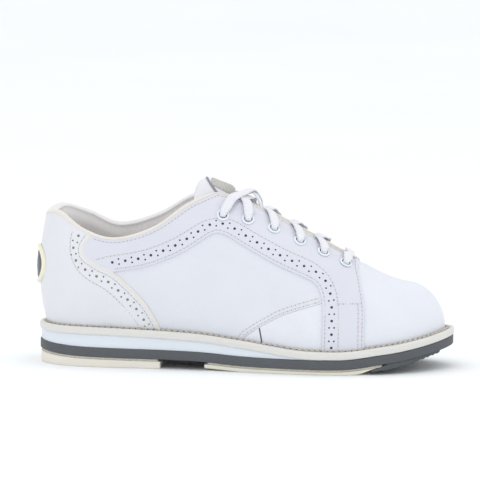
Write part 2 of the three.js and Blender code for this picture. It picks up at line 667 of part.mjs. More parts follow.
function buildHeelBadge() {
  const seat = OVERLAY_TOP + GAP;
  const plate = upperLayer(seat + BADGE_THICKNESS, seat);
  const rim = upperLayer(seat + BADGE_THICKNESS + 0.4, seat);
  const face = ovalPrism(BADGE_HEIGHT, BADGE_WIDTH, BADGE_MIDDLE);
  const room = ovalPrism(BADGE_HEIGHT + 2 * GAP, BADGE_WIDTH + 2 * GAP, BADGE_MIDDLE);
  const outer = ovalPrism(BADGE_HEIGHT + 2 * BADGE_RIM, BADGE_WIDTH + 2 * BADGE_RIM, BADGE_MIDDLE);
  addPiece('heel_badge', plate.intersect(face), '#54585c', 0.4);
  addPiece('heel_badge_rim', rim.intersect(outer).subtract(room), cream, 0.5);
}

// The tongue is padded; its centre swells up through the open throat near the top.
const TONGUE_SWELL = [
  [-27, 12], [-22, 15.5], [-15, 18.5], [-9, 17.5], [-4, 9.5], [1, 4], [6, 2], [11, 0.5], [18, 0],
];
const TONGUE_SWELL_REACH = [[-27, 8.6], [-22, 8.2], [18, 8.2]];
const TONGUE_LINE = [[-27, 112.5], [-14, 103], [5, 95.6], [24, 88.6], [61, 67], [76, 61.3]];

function tongueHeight(x, y) {
  const reach = heightAt(TONGUE_SWELL_REACH, x);
  const share = Math.min(Math.abs(y) / reach, 1);
  const swell = heightAt(TONGUE_SWELL, x) * (1 - share * share) ** 2;
  const base = heightAt(TONGUE_LINE, x) + lift - (y * y) / TONGUE_CURVE;
  return { base, crest: base + swell };
}

function tongueLayer(topOf, bottomOf) {
  const rings = [];
  const steps = 18;
  const across = 10;
  const rear = TONGUE_TOP_X * gradeX;
  const front = TONGUE_ROOT_X * gradeX;
  for (let i = 0; i <= steps; i += 1) {
    const x = rear + ((front - rear) * i) / steps;
    const share = (x - rear) / (front - rear);
    const tip = Math.sqrt(Math.min(share / 0.12, 1));
    const full = TONGUE_TOP_HALF_WIDTH + (TONGUE_ROOT_HALF_WIDTH - TONGUE_TOP_HALF_WIDTH) * share;
    const half = full * (0.6 + 0.4 * tip);
    const top = [];
    const bottom = [];
    for (let j = 0; j <= across; j += 1) {
      const y = half * (-1 + (2 * j) / across);
      const height = tongueHeight(x, y);
      top.push(new THREE.Vector3(x, y, topOf(height)));
      bottom.unshift(new THREE.Vector3(x, y, bottomOf(height)));
    }
    rings.push([...top, ...bottom]);
  }
  return solidFromRings(rings, across + 1);
}

function buildTongue() {
  const shellDepth = TONGUE_SHELL;
  const padTop = shellDepth + GAP;
  const padBottom = padTop + TONGUE_PADDING;
  const liningTop = padBottom + GAP;
  const shell = tongueLayer((h) => h.crest, (h) => h.crest - shellDepth);
  addPiece('tongue_shell', shell, '#e9e9ef', 0.5);
  const padding = tongueLayer((h) => h.crest - padTop, (h) => h.base - padBottom);
  addPiece('tongue_padding', padding, '#e8d9a0', 0.95);
  const lining = tongueLayer((h) => h.base - liningTop, (h) => h.base - liningTop - TONGUE_LINING);
  addPiece('tongue_lining', lining, '#d6d1cd', 0.9);
}

// Lace waypoints: place, the direction the flat side faces, and the section there.
const ribbonPoint = (point, normal, width = LACE_WIDTH, thickness = LACE_THICKNESS) => {
  return { point, normal, width, thickness };
};

const TONGUE_UP = new THREE.Vector3(0.3, 0, 1).normalize();

// face is 1 or -1, the side of the ribbon that is up. It changes each time the lace passes a hole.
function insideHole(k, side, face) {
  const frame = eyelets[side < 0 ? 0 : 1][k];
  const at = (depth) => frame.point.clone().addScaledVector(frame.normal, depth);
  const gathered = (depth) => {
    const toThroat = new THREE.Vector3(0, -side * face, 0);
    return ribbonPoint(at(depth), toThroat, LACE_GATHERED_WIDTH, LACE_GATHERED_THICKNESS);
  };
  return [gathered(LINING_INNER - 2), gathered(-1.5), gathered(EYELET_CREST + 0.3)];
}

const EYELET_CREST = OVERLAY_TOP + GAP + EYELET_FLANGE_THICKNESS;
const LACE_OVER = EYELET_CREST + GAP + LACE_THICKNESS / 2;
const LACE_UNDER = LINING_INNER - GAP - LACE_THICKNESS;

function laceOn(x, y, depth, width) {
  const { point, normal } = instepAt(x * gradeX, y * gradeY, depth);
  return ribbonPoint(point, normal, width);
}

// From hole k on one side, out and across the throat, under the other facing and up to the next hole.
function crossing(k, side, lower) {
  const from = EYELET_X[k];
  const to = EYELET_X[k - 1];
  const run = to - from;
  const rise = side < 0 ? 1.15 : -1.15;
  const path = [];
  if (lower) {
    path.push(laceOn(from + 0.1 * run, side * 15.5, LACE_UNDER - 0.8));
    path.push(laceOn(from + 0.25 * run, side * 9, LACE_UNDER - 0.4));
  } else {
    path.push(laceOn(from + 0.03 * run, side * 17, LACE_OVER + 0.5));
    path.push(laceOn(from + 0.12 * run, side * 12, LACE_OVER - 0.3));
    path.push(laceOn(from + 0.25 * run, side * 8, LACE_OVER - 0.6));
  }
  if (k === 1) {
    path.push(ribbonPoint(graded(3, 0, 111.7 + 0.8 * rise), TONGUE_UP, LACE_CROSSING_WIDTH));
    path.push(laceOn(1.5, -side * 6.2, LACE_UNDER + 0.8, LACE_CROSSING_WIDTH));
    path.push(laceOn(-1.5, -side * 10.5, LACE_UNDER - 0.9));
    path.push(laceOn(-8.5, -side * 15, LACE_UNDER - 1.7));
    return path;
  }
  const depth = -1.6 + (lower ? -1.2 : 0) + rise;
  path.push(laceOn(from + 0.5 * run, 0, depth, LACE_CROSSING_WIDTH));
  path.push(laceOn(from + 0.77 * run, -side * 8.3, LACE_UNDER - 0.2));
  path.push(laceOn(from + 0.88 * run, -side * 14, LACE_UNDER - 0.5));
  return path;
}

function tail(side) {
  const x = EYELET_X[0];
  const rise = side < 0 ? 1.6 : 0;
  const place = (px, py, pz, width) => ribbonPoint(graded(px, py, pz), TONGUE_UP, width);
  return [
    laceOn(x + 2, side * 17, LACE_OVER + 0.6),
    laceOn(x + 6, side * 12, LACE_OVER + 1.5),
    place(-2.5, side * 6, 115.5 + rise),
    place(3.6, 0, 116.8 + rise, LACE_CROSSING_WIDTH),
    place(8.2, -side * 3.4, 110 + rise, LACE_DIVE_WIDTH),
    laceOn(11.2, -side * 5.4, -3.6, LACE_DIVE_WIDTH),
    laceOn(13, -side * 8.6, LACE_UNDER - 0.5, LACE_DIVE_WIDTH),
    laceOn(12.4, -side * 13, LACE_UNDER - 0.5),
    laceOn(12.4, -side * LACE_END, LACE_UNDER - 0.6),
  ];
}

function laceStrand(firstSide) {
  const path = [];
  let side = firstSide;
  let face = -1;
  const turned = (points) => points.map((p) => ({ ...p, normal: p.normal.clone().multiplyScalar(face) }));
  for (let k = EYELET_X.length - 1; k > 0; k -= 1) {
    const first = k === EYELET_X.length - 1;
    if (first) path.push(...insideHole(k, side, face).reverse());
    path.push(...turned(crossing(k, side, first)));
    side = -side;
    path.push(...insideHole(k - 1, side, face));
    face = -face;
  }
  path.push(...turned(tail(side)));
  return path;
}

function ribbonRings(path, stepsPerPoint) {
  const points = path.map((p) => p.point);
  const normals = path.map((p) => p.normal);
  const last = path.length - 1;
  const rings = [];
  for (let i = 0; i <= last * stepsPerPoint; i += 1) {
    const u = Math.min(i / stepsPerPoint, last - 1e-6);
    const k = Math.floor(u);
    const share = u - k;
    const mix = (key) => path[k][key] * (1 - share) + path[k + 1][key] * share;
    const middle = along(points, u, false);
    const front = along(points, Math.min(u + 0.05, last - 1e-6), false);
    const tangent = front.sub(along(points, Math.max(u - 0.05, 0), false)).normalize();
    const flat = along(normals, u, false);
    const across = tangent.clone().cross(flat).normalize();
    const out = across.clone().cross(tangent).normalize();
    const corner = (a, b) => middle.clone()
      .addScaledVector(across, (a * mix('width')) / 2).addScaledVector(out, (b * mix('thickness')) / 2);
    rings.push([corner(-1, -1), corner(1, -1), corner(1, 1), corner(-1, 1)]);
  }
  return rings;
}

// Tagged ends of the lace, tucked between the lining and the tongue.
function buildAglets() {
  [['outer', 1], ['inner', -1]].forEach(([name, side]) => {
    const ends = [0, AGLET_LENGTH / 2, AGLET_LENGTH].map((run) => {
      const y = LACE_END + GAP + run;
      const end = laceOn(12.4, -side * y, LACE_UNDER - 0.8);
      return ribbonPoint(end.point, end.normal, AGLET_WIDTH, AGLET_THICKNESS);
    });
    addPiece(`aglet_${name}`, solidFromRings(ribbonRings(ends, 1), 2), '#f4f5f6', 0.3);
  });
}

function buildLace() {
  const k = EYELET_X.length - 1;
  const bar = [-16.5, -10, 0, 10, 16.5].map((y) => laceOn(EYELET_X[k] + 0.5, y, LACE_OVER));
  const path = [...laceStrand(-1).reverse(), ...bar, ...laceStrand(1)];
  addPiece('shoelace', solidFromRings(ribbonRings(path, 3), 2), '#f1f1f3', 0.8);
}

buildSole();
buildPads();
buildInsole();
buildUpper();
buildEyelets();
buildCollarBinding();
buildHeelBadge();
buildTongue();
buildLace();
buildAglets();

export default shoe;
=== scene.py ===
import math

import bmesh
import bpy
import numpy as np
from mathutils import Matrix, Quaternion, Vector, kdtree
from mathutils.geometry import delaunay_2d_cdt


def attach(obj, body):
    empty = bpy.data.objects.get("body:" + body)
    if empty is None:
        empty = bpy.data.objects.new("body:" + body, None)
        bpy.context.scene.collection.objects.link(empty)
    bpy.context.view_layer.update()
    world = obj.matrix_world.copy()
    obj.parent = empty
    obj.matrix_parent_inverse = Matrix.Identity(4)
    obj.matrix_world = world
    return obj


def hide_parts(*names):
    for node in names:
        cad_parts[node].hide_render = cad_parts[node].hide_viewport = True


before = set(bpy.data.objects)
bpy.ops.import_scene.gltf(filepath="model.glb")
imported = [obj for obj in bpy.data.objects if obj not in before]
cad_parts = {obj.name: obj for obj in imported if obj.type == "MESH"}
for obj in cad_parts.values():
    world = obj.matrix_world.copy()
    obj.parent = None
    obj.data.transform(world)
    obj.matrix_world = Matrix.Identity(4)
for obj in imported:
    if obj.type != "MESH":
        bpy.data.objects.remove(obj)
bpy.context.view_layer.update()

# All working lengths are millimetres; meshes are written in metres.
MM = 0.001
rng = np.random.default_rng(7)
scene = bpy.context.scene

# ---------------------------------------------------------------- camera first
CAMERA_AIM = Vector((-0.0053, 0.0, 0.0841))
CAMERA_DISTANCE = 4.0
CAMERA_ELEVATION = math.radians(6.6)
CAMERA_YAW = math.radians(3.0)
CAMERA_ROLL = math.radians(0.75)
FOCAL = 444.5

back = Vector((math.sin(CAMERA_YAW) * math.cos(CAMERA_ELEVATION),
               -math.cos(CAMERA_YAW) * math.cos(CAMERA_ELEVATION),
               math.sin(CAMERA_ELEVATION)))
camera_data = bpy.data.cameras.new("camera")
camera_data.lens = FOCAL
camera_data.sensor_width = 36.0
camera_data.clip_end = 60.0
camera = bpy.data.objects.new("camera", camera_data)
camera.location = CAMERA_AIM + back * CAMERA_DISTANCE
camera.rotation_euler = ((-back).to_track_quat("-Z", "Y") @ Quaternion((0, 0, 1), CAMERA_ROLL)).to_euler()
scene.collection.objects.link(camera)
scene.camera = camera

# ---------------------------------------------------------------- sizes shared with the frame
BAND_THICKNESS = 6.3
WELT_THICKNESS = 5.4
WELT_WIDTH = 6.0
WELT_LAP = 9.0
GAP = 0.3
LEATHER = 1.4
OVERLAY_TOP = 1.6
LINING_OUTER = -3.3
LINING_INNER = -4.5
COUNT = 20
RIDGE = 6
TOE = 10

# Stations round the shoe: sole edge, wall handle, crown handle, top line.
STATIONS = [
    ((-140, 0), (7.5, 26), (5.5, -26), (-135, 0, 100)),
    ((-132.5, -20), (8, 24), (5, -26), (-127, -16.5, 102.5)),
    ((-113, -31.5), (9, 22), (6, -22), (-109, -25.5, 91.5)),
    ((-84, -35), (9, 20), (6, -20), (-88, -28, 86.3)),
    ((-50, -36.5), (7, 22), (6, -22), (-62, -27, 94)),
    ((-12, -42.5), (4, 26), (7, -20), (-37, -21, 111)),
    ((28, -49.5), (4, 26), (8, -24, -3), (-14, 0, 118)),
    ((63, -51), (5, 22), (8, -27, -1), (24, 1, 98)),
    ((97, -42), (5, 20), (10, -29, 2), (61, 3, 76.5)),
    ((125, -22), (3, 18), (13, -19, 3), (88, 5, 61)),
    ((140, 8), (0.5, 17), (15, 0, 2.4), (106, 6.5, 57.3)),
    ((129, 36), (3, 17.5), (12, 18, 2.5), (88, 5, 61)),
    ((101, 49), (5, 19), (8, 27, 1), (61, 3, 76.5)),
    ((67, 49), (5, 22), (6, 26, -1), (24, 1, 98)),
    ((32, 40.5), (5, 27), (6, 24, -3), (-14, 0, 118)),
    ((-8, 32), (5, 28), (7, -20), (-37, 20.5, 112.5)),
    ((-48, 30.5), (7, 24), (6, -22), (-62, 26, 98)),
    ((-84, 33), (9, 22), (6, -22), (-88, 27.5, 91)),
    ((-113, 30.5), (9, 22), (6, -24), (-109, 24, 99)),
    ((-132.5, 19), (8, 24), (5, -26), (-127, 15.5, 104.5)),
]
BAND_TOP = [(-140, 15.6), (-125, 14.2), (-106, 13.4), (-56, 12.7), (-26, 12.1), (-2, 10.6), (28, 10),
            (65, 10), (77, 11), (89, 12.7), (102, 14.2), (118, 17), (134, 20.4), (140, 22)]
WEDGE = [(-140, 6.6), (-106, 8.2), (-58, 7.5), (-2, 5.2), (20, 2.6), (38, 0.5), (60, 0), (80, 0), (140, 0)]
TOE_PAD = [(80, 4.2), (93, 3.9), (110, 3.2), (118, 2.2), (126, 1.4), (140, 0.9)]

# Pattern lines seen from the side, as (x, z).
SADDLE_LOWER = [(-88, 64.8), (-67.4, 68.4), (-45, 77), (-30.8, 85.6), (-24, 90), (-19, 91.3), (-13, 89.7),
                (-2.2, 83.8), (21.5, 71.4), (44, 61.6), (49, 57.5), (51.6, 51), (52.5, 44), (52.8, 30),
                (52.8, 5)]
SADDLE_FRONT = [(80.5, 5), (80.5, 40), (79.5, 49), (77.5, 58), (76, 64), (74, 71), (73, 80)]
FOXING_FRONT = [(-104, 100), (-104.5, 89), (-109, 80.5), (-108, 74.5), (-99, 68.3), (-88, 63.2),
                (-76.4, 53.3), (-66.3, 42.5), (-57.2, 26), (-54, 5)]
VAMP_REAR = [(-6, 5), (-0.2, 21.6), (6, 27), (13.6, 32), (25.6, 38.6), (38, 43), (49.4, 46.4),
             (62, 51), (72.5, 58), (75, 66), (76, 80)]
SEAM_HEIGHT = 46.6
THROAT_FRONT = 70.0
THROAT_HALF = 9.0
EYELET_X = [-16, 1, 18, 35.5, 51.5, 66.5]
EYELET_Y = 20.0


# ---------------------------------------------------------------- curves and the last surface
def hermite(a, b, c, d, t):
    m0 = (c - a) / 2
    m1 = (d - b) / 2
    return ((2 * t**3 - 3 * t**2 + 1) * b + (3 * t**2 - 2 * t**3) * c
            + (t**3 - 2 * t**2 + t) * m0 + (t**3 - t**2) * m1)


def spline(points, u, closed):
    """Catmull-Rom through the rows of points at station numbers u."""
    points = np.asarray(points, float)
    u = np.asarray(u, float)
    n = len(points)
    i = np.floor(u).astype(int)
    if not closed:
        i = np.clip(i, 0, n - 2)
    t = (u - i)[..., None]

    def pick(k):
        return points[(i + k) % n] if closed else points[np.clip(i + k, 0, n - 1)]
    return hermite(pick(-1), pick(0), pick(1), pick(2), t)


def height_at(knots, x):
    k = np.asarray(knots, float)
    x = np.clip(np.asarray(x, float), k[0, 0], k[-1, 0])
    n = len(k)
    lo = np.maximum(np.arange(n) - 1, 0)
    hi = np.minimum(np.arange(n) + 1, n - 1)
    slope = (k[hi, 1] - k[lo, 1]) / (k[hi, 0] - k[lo, 0])
    i = np.clip(np.searchsorted(k[:, 0], x, side="left") - 1, 0, n - 2)
    h = k[i + 1, 0] - k[i, 0]
    t = (x - k[i, 0]) / h
    return ((2 * t**3 - 3 * t**2 + 1) * k[i, 1] + (3 * t**2 - 2 * t**3) * k[i + 1, 1]
            + (t**3 - 2 * t**2 + t) * h * slope[i] + (t**3 - t**2) * h * slope[i + 1])


def band_bottom(x):
    return height_at(BAND_TOP, x) - BAND_THICKNESS


def band_top(x):
    return height_at(BAND_TOP, x)


def wedge_top(x):
    return band_top(x) + np.maximum(height_at(WEDGE, x), 0)


def welt_top(x):
    return wedge_top(x) + WELT_THICKNESS


SOLE_POINTS = np.array([s[0] for s in STATIONS], float)


def outward(u):
    d = spline(SOLE_POINTS, np.asarray(u) + 0.05, True) - spline(SOLE_POINTS, np.asarray(u) - 0.05, True)
    d /= np.linalg.norm(d, axis=-1, keepdims=True)
    return np.stack([d[..., 1], -d[..., 0]], -1)


def outline(u, inset):
    return spline(SOLE_POINTS, u, True) - outward(u) * np.asarray(inset)[..., None]


def with_z(xy, z):
    return np.concatenate([xy, np.asarray(z)[..., None]], -1)


def feather(u):
    xy = outline(u, WELT_WIDTH)
    return with_z(xy, welt_top(xy[..., 0]) + GAP)


FINE = 40
U_FINE = np.arange(COUNT * FINE) / FINE


def smooth_loop(values, sigma):
    n = len(values)
    reach = np.minimum(np.arange(n), n - np.arange(n))
    kernel = np.exp(-0.5 * (reach / sigma) ** 2)
    kernel /= kernel.sum()
    spectrum = np.fft.rfft(values, axis=0) * np.fft.rfft(kernel)[:, None]
    return np.fft.irfft(spectrum, n, axis=0)


STATION_U = np.arange(COUNT)
TOPS = np.array([s[3] for s in STATIONS], float)
OUT_AT = with_z(outward(STATION_U), np.zeros(COUNT))
WALLS = feather(STATION_U) + OUT_AT * np.array([[s[1][0]] for s in STATIONS]) \
    + np.array([[0, 0, s[1][1]] for s in STATIONS])
CROWNS = np.array([TOPS[k] + (np.array(s[2]) if len(s[2]) == 3 else OUT_AT[k] * s[2][0] + [0, 0, s[2][1]])
                   for k, s in enumerate(STATIONS)])
SMOOTHING = 0.2 * FINE
FEATHER_FINE = smooth_loop(feather(U_FINE), SMOOTHING * 0.6)
WALL_FINE = smooth_loop(spline(WALLS, U_FINE, True), SMOOTHING)
CROWN_FINE = smooth_loop(spline(CROWNS, U_FINE, True), SMOOTHING)
RIDGE_LINE = TOPS[RIDGE:TOE + 1]
COLLAR_LINE = TOPS[[k % COUNT for k in range(COUNT - RIDGE, COUNT + RIDGE + 1)]]


def top_at(u):
    v = np.mod(u, COUNT)
    from_toe = np.abs(v - TOE)
    ridge = spline(RIDGE_LINE, np.clip(TOE - RIDGE - from_toe, 0, TOE - RIDGE), False)
    collar = spline(COLLAR_LINE, np.mod(v - (COUNT - RIDGE), COUNT), False)
    return np.where((from_toe <= TOE - RIDGE)[..., None], ridge, collar)


def surface(u, t):
    u = np.asarray(u, float)
    t = np.asarray(t, float)[..., None]
    s = 1 - t
    fine = np.mod(u, COUNT) * FINE
    return (s**3 * spline(FEATHER_FINE, fine, True) + 3 * s * s * t * spline(WALL_FINE, fine, True)
            + 3 * s * t * t * spline(CROWN_FINE, fine, True) + t**3 * top_at(u))


def raw_normal(u, t):
    e = 0.02
    around = surface(u + e, t) - surface(u - e, t)
    up = surface(u, t + e / 2) - surface(u, t - e / 2)
    n = np.cross(around, up)
    return n / np.maximum(np.linalg.norm(n, axis=-1, keepdims=True), 1e-9)


def smoothstep(x):
    x = np.clip(x, 0, 1)
    return x * x * (3 - 2 * x)


def normal(u, t):
    """Outward normal; near the ridge of the toe both sides share one normal, so panels meet there."""
    u = np.asarray(u, float)
    t = np.asarray(t, float)
    low = np.minimum(t, 0.985)
    n = raw_normal(u, low)
    other = raw_normal(COUNT - u, low)
    near_ridge = smoothstep((2.6 - np.abs(np.mod(u, COUNT) - TOE)) / 0.4)
    weight = (0.5 * smoothstep((t - 0.8) / 0.2) * near_ridge)[..., None]
    n = n * (1 - weight) + other * weight
    n /= np.linalg.norm(n, axis=-1, keepdims=True)
    flat = n.copy()
    flat[..., 2] = 0
    flat /= np.linalg.norm(flat, axis=-1, keepdims=True)
    share = smoothstep(1 - t / 0.03)[..., None]
    n = n * (1 - share) + flat * share
    return n / np.linalg.norm(n, axis=-1, keepdims=True)


def lifted(uv, depth):
    return surface(uv[:, 0], uv[:, 1]) + normal(uv[:, 0], uv[:, 1]) * np.asarray(depth).reshape(-1, 1)


def jacobian(uv):
    e = 1e-3
    u, t = uv[:, 0], uv[:, 1]
    su = (surface(u + e, t) - surface(u - e, t)) / (2 * e)
    st = (surface(u, t + e) - surface(u, t - e)) / (2 * e)
    return su, st


def step_on(uv, move):
    """uv moved by a tangent vector in millimetres."""
    su, st = jacobian(uv)
    a = (su * su).sum(1)
    b = (su * st).sum(1)
    c = (st * st).sum(1)
    p = (su * move).sum(1)
    q = (st * move).sum(1)
    det = a * c - b * b
    return uv + np.stack([(c * p - b * q) / det, (a * q - b * p) / det], 1)


SIDES = {"lateral": (0.0, 10.0), "medial": (10.0, 20.0), "heel": (-2.5, 2.5)}
trees = {}


def tree_for(side, axes):
    if (side, axes) not in trees:
        low, high = SIDES[side]
        us, ts = np.meshgrid(np.arange(low, high + 0.01, 0.08), np.linspace(0, 1, 70), indexing="ij")
        uv = np.stack([us.ravel(), ts.ravel()], 1)
        places = surface(uv[:, 0], uv[:, 1])[:, axes]
        tree = kdtree.KDTree(len(uv))
        for k, (a, b) in enumerate(places):
            tree.insert((a, b, 0), k)
        tree.balance()
        trees[(side, axes)] = (tree, uv)
    return trees[(side, axes)]


def locate(targets, side, axes):
    """(u, t) under each target given in two of the three axes, and how far each one missed."""
    targets = np.asarray(targets, float)
    tree, samples = tree_for(side, axes)
    uv = np.array([samples[tree.find((a, b, 0))[1]] for a, b in targets])
    axes = list(axes)
    for _ in range(8):
        miss = targets - surface(uv[:, 0], uv[:, 1])[:, axes]
        su, st = jacobian(uv)
        su, st = su[:, axes], st[:, axes]
        det = su[:, 0] * st[:, 1] - su[:, 1] * st[:, 0]
        det = np.where(np.abs(det) < 1e-3, 1e9, det)
        du = (miss[:, 0] * st[:, 1] - miss[:, 1] * st[:, 0]) / det
        dt = (su[:, 0] * miss[:, 1] - su[:, 1] * miss[:, 0]) / det
        uv = uv + np.clip(np.stack([du, dt], 1), -0.1, 0.1)
        uv[:, 1] = np.clip(uv[:, 1], 0, 1)
    miss = np.linalg.norm(targets - surface(uv[:, 0], uv[:, 1])[:, axes], axis=1)
    return uv, miss


SIDE_VIEW = (0, 2)
PLAN_VIEW = (0, 1)
HEEL_VIEW = (1, 2)
UV_MM = np.array([31.0, 85.0])


def resample(points, spacing, closed=False):
    points = np.asarray(points, float)
    if closed:
        points = np.vstack([points, points[:1]])
    length = np.concatenate([[0], np.cumsum(np.linalg.norm(np.diff(points, axis=0), axis=1))])
    n = max(int(round(length[-1] / spacing)), 2)
    at = np.linspace(0, length[-1], n + 1)
    if closed:
        at = at[:-1]
    return np.stack([np.interp(at, length, points[:, k]) for k in range(points.shape[1])], 1)


def resample_uv(uv, spacing, closed=False):
    """Even spacing in millimetres on the surface."""
    ring = np.vstack([uv, uv[:1]]) if closed else uv
    p = surface(ring[:, 0], ring[:, 1])
    length = np.concatenate([[0], np.cumsum(np.linalg.norm(np.diff(p, axis=0), axis=1))])
    n = max(int(round(length[-1] / spacing)), 2)
    at = np.linspace(0, length[-1], n + 1)
    if closed:
        at = at[:-1]
    return np.stack([np.interp(at, length, ring[:, k]) for k in range(2)], 1)


def curve_through(knots, spacing=0.9):
    """Smooth plane curve through the knots, by centripetal-like chord spacing."""
    knots = np.asarray(knots, float)
    chord = np.concatenate([[0], np.cumsum(np.linalg.norm(np.diff(knots, axis=0), axis=1) ** 0.7)])
    at = np.linspace(0, chord[-1], 600)
    x = height_at(np.stack([chord, knots[:, 0]], 1), at)
    y = height_at(np.stack([chord, knots[:, 1]], 1), at)
    return resample(np.stack([x, y], 1), spacing)


def offset_curve(points, distance):
    """Points moved to the left of their direction."""
    d = np.gradient(points, axis=0)
    d /= np.linalg.norm(d, axis=1, keepdims=True)
    return points + distance * np.stack([-d[:, 1], d[:, 0]], 1)


def blur(points, sigma):
    """Gaussian smoothing of an open curve that keeps its ends."""
    reach = int(4 * sigma)
    if reach < 1:
        return points
    kernel = np.exp(-0.5 * (np.arange(-reach, reach + 1) / sigma) ** 2)
    kernel /= kernel.sum()
    first = 2 * points[0] - points[1:reach + 1][::-1]
    last = 2 * points[-1] - points[-reach - 1:-1][::-1]
    padded = np.vstack([first, points, last])
    out = np.stack([np.convolve(padded[:, k], kernel, "valid") for k in range(points.shape[1])], 1)
    out[0], out[-1] = points[0], points[-1]
    return out


def trace(points, side, axes=SIDE_VIEW, ends=(None, None)):
    """The (u, t) path of a pattern curve. Ends given as 0 or 1 are carried on to that border."""
    uv, miss = locate(points, side, axes)
    keep = (miss < 0.3) & (uv[:, 1] > 0.002) & (uv[:, 1] < 0.998)
    first, last = np.flatnonzero(keep)[[0, -1]]
    uv = uv[first:last + 1]
    jumps = np.flatnonzero(np.linalg.norm(np.diff(uv, axis=0) * UV_MM, axis=1) > 5)
    if len(jumps):
        uv = uv[:jumps[0] + 1] if jumps[0] > len(uv) / 2 else uv[jumps[-1] + 1:]
    for which, border in zip((0, -1), ends):
        if border is None:
            continue
        a, b = (uv[0], uv[min(3, len(uv) - 1)]) if which == 0 else (uv[-1], uv[max(-4, -len(uv))])
        slope = (a[0] - b[0]) / (a[1] - b[1]) if abs(a[1] - b[1]) > 1e-5 else 0
        reach = border - a[1]
        end = np.array([a[0] + np.clip(slope, -6, 6) * reach, border])
        uv = np.vstack([end, uv]) if which == 0 else np.vstack([uv, end])
    return uv


# ---------------------------------------------------------------- meshes
def finish_mesh(name, vertices, faces, material, body="shoe", replaced=(), smooth_angle=40, slot=None,
                uvs=None, weld=0.0, face_materials=None):
    mesh = bpy.data.meshes.new(name)
    mesh.from_pydata([tuple(v) for v in np.asarray(vertices) * MM], [], faces)
    if uvs is not None:
        layer = mesh.uv_layers.new(name="pattern")
        loops = np.zeros(len(mesh.loops), int)
        mesh.loops.foreach_get("vertex_index", loops)
        layer.data.foreach_set("uv", np.asarray(uvs, np.float32)[loops].ravel())
    materials = material if isinstance(material, (list, tuple)) else [material]
    for m in materials:
        mesh.materials.append(m)
    if face_materials is not None:
        mesh.polygons.foreach_set("material_index", np.asarray(face_materials, np.int32))
    if weld:
        bm = bmesh.new()
        bm.from_mesh(mesh)
        bmesh.ops.remove_doubles(bm, verts=bm.verts, dist=weld * MM)
        bmesh.ops.dissolve_degenerate(bm, edges=bm.edges, dist=1e-7)
        bm.to_mesh(mesh)
        bm.free()
    mesh.shade_smooth()
    if smooth_angle < 180:
        mesh.set_sharp_from_angle(angle=math.radians(smooth_angle))
    mesh.validate()
    obj = bpy.data.objects.new(name, mesh)
    scene.collection.objects.link(obj)
    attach(obj, body)
    if replaced:
        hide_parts(*replaced)
    return obj


def inside(points, loop):
    """Which points lie in the polygon, by its winding number."""
    x, y = points[:, 0][:, None], points[:, 1][:, None]
    ax, ay = loop[:, 0][None], loop[:, 1][None]
    bx, by = np.roll(loop[:, 0], -1)[None], np.roll(loop[:, 1], -1)[None]
    found = np.zeros(len(points), int)
    for start in range(0, len(points), 4000):
        part = slice(start, start + 4000)
        crosses = (ay > y[part]) != (by > y[part])
        run = (bx - ax) * (y[part] - ay) / np.where(by == ay, 1e-12, by - ay) + ax
        found[part] = (crosses & (x[part] < run)).astype(int) @ np.sign(by - ay).astype(int)[0]
    return found != 0


def triangulate(loop, holes, grid, clear):
    """Constrained Delaunay fill of a plane loop with holes. Points are loop, then holes, then inner ones."""
    parts = [loop, *holes]
    edge_points = np.vstack(parts)
    labels = np.concatenate([np.full(len(p), k) for k, p in enumerate(parts)])
    tree = kdtree.KDTree(len(edge_points))
    for k, (a, b) in enumerate(edge_points):
        tree.insert((a, b, 0), k)
    tree.balance()
    grid = grid[inside(grid, loop)]
    grid = np.array([g for g in grid if tree.find((g[0], g[1], 0))[2] > clear]).reshape(-1, 2)
    for hole in holes:
        middle = hole.mean(0)
        reach = np.linalg.norm(hole - middle, axis=1).max()
        grid = grid[np.linalg.norm(grid - middle, axis=1) > reach]
    points = np.vstack([edge_points, grid])
    edges = []
    start = 0
    for p in parts:
        n = len(p)
        edges += [(start + k, start + (k + 1) % n) for k in range(n)]
        start += n
    out = delaunay_2d_cdt([Vector(p) for p in points], edges, [], 1, 1e-7, True)
    origin = [ids[0] if ids else -1 for ids in out[3]]
    triangles = []
    for face in out[2]:
        ids = [origin[k] for k in face]
        if -1 in ids or len(set(ids)) < 3:
            continue
        owners = {labels[k] if k < len(labels) else -1 for k in ids}
        if len(owners) == 1 and owners not in ({0}, {-1}):
            continue
        a, b, c = (points[k] for k in ids)
        if (b[0] - a[0]) * (c[1] - a[1]) - (b[1] - a[1]) * (c[0] - a[0]) < 0:
            ids.reverse()
        triangles.append(tuple(ids))
    middles = points[np.array(triangles)].mean(1)
    return points, [t for t, kept in zip(triangles, inside(middles, loop)) if kept]


def area(loop):
    x, y = loop[:, 0], loop[:, 1]
    return 0.5 * (x * np.roll(y, -1) - y * np.roll(x, -1)).sum()


def hole_ring(centre, radius, count):
    uv = np.repeat(np.array([centre], float), count, 0)
    n = normal(uv[:, 0], uv[:, 1])
    su, _ = jacobian(uv)
    e1 = su / np.linalg.norm(su, axis=1, keepdims=True)
    e2 = np.cross(n, e1)
    a = 2 * np.pi * np.arange(count) / count
    return step_on(uv, radius * (np.cos(a)[:, None] * e1 + np.sin(a)[:, None] * e2))


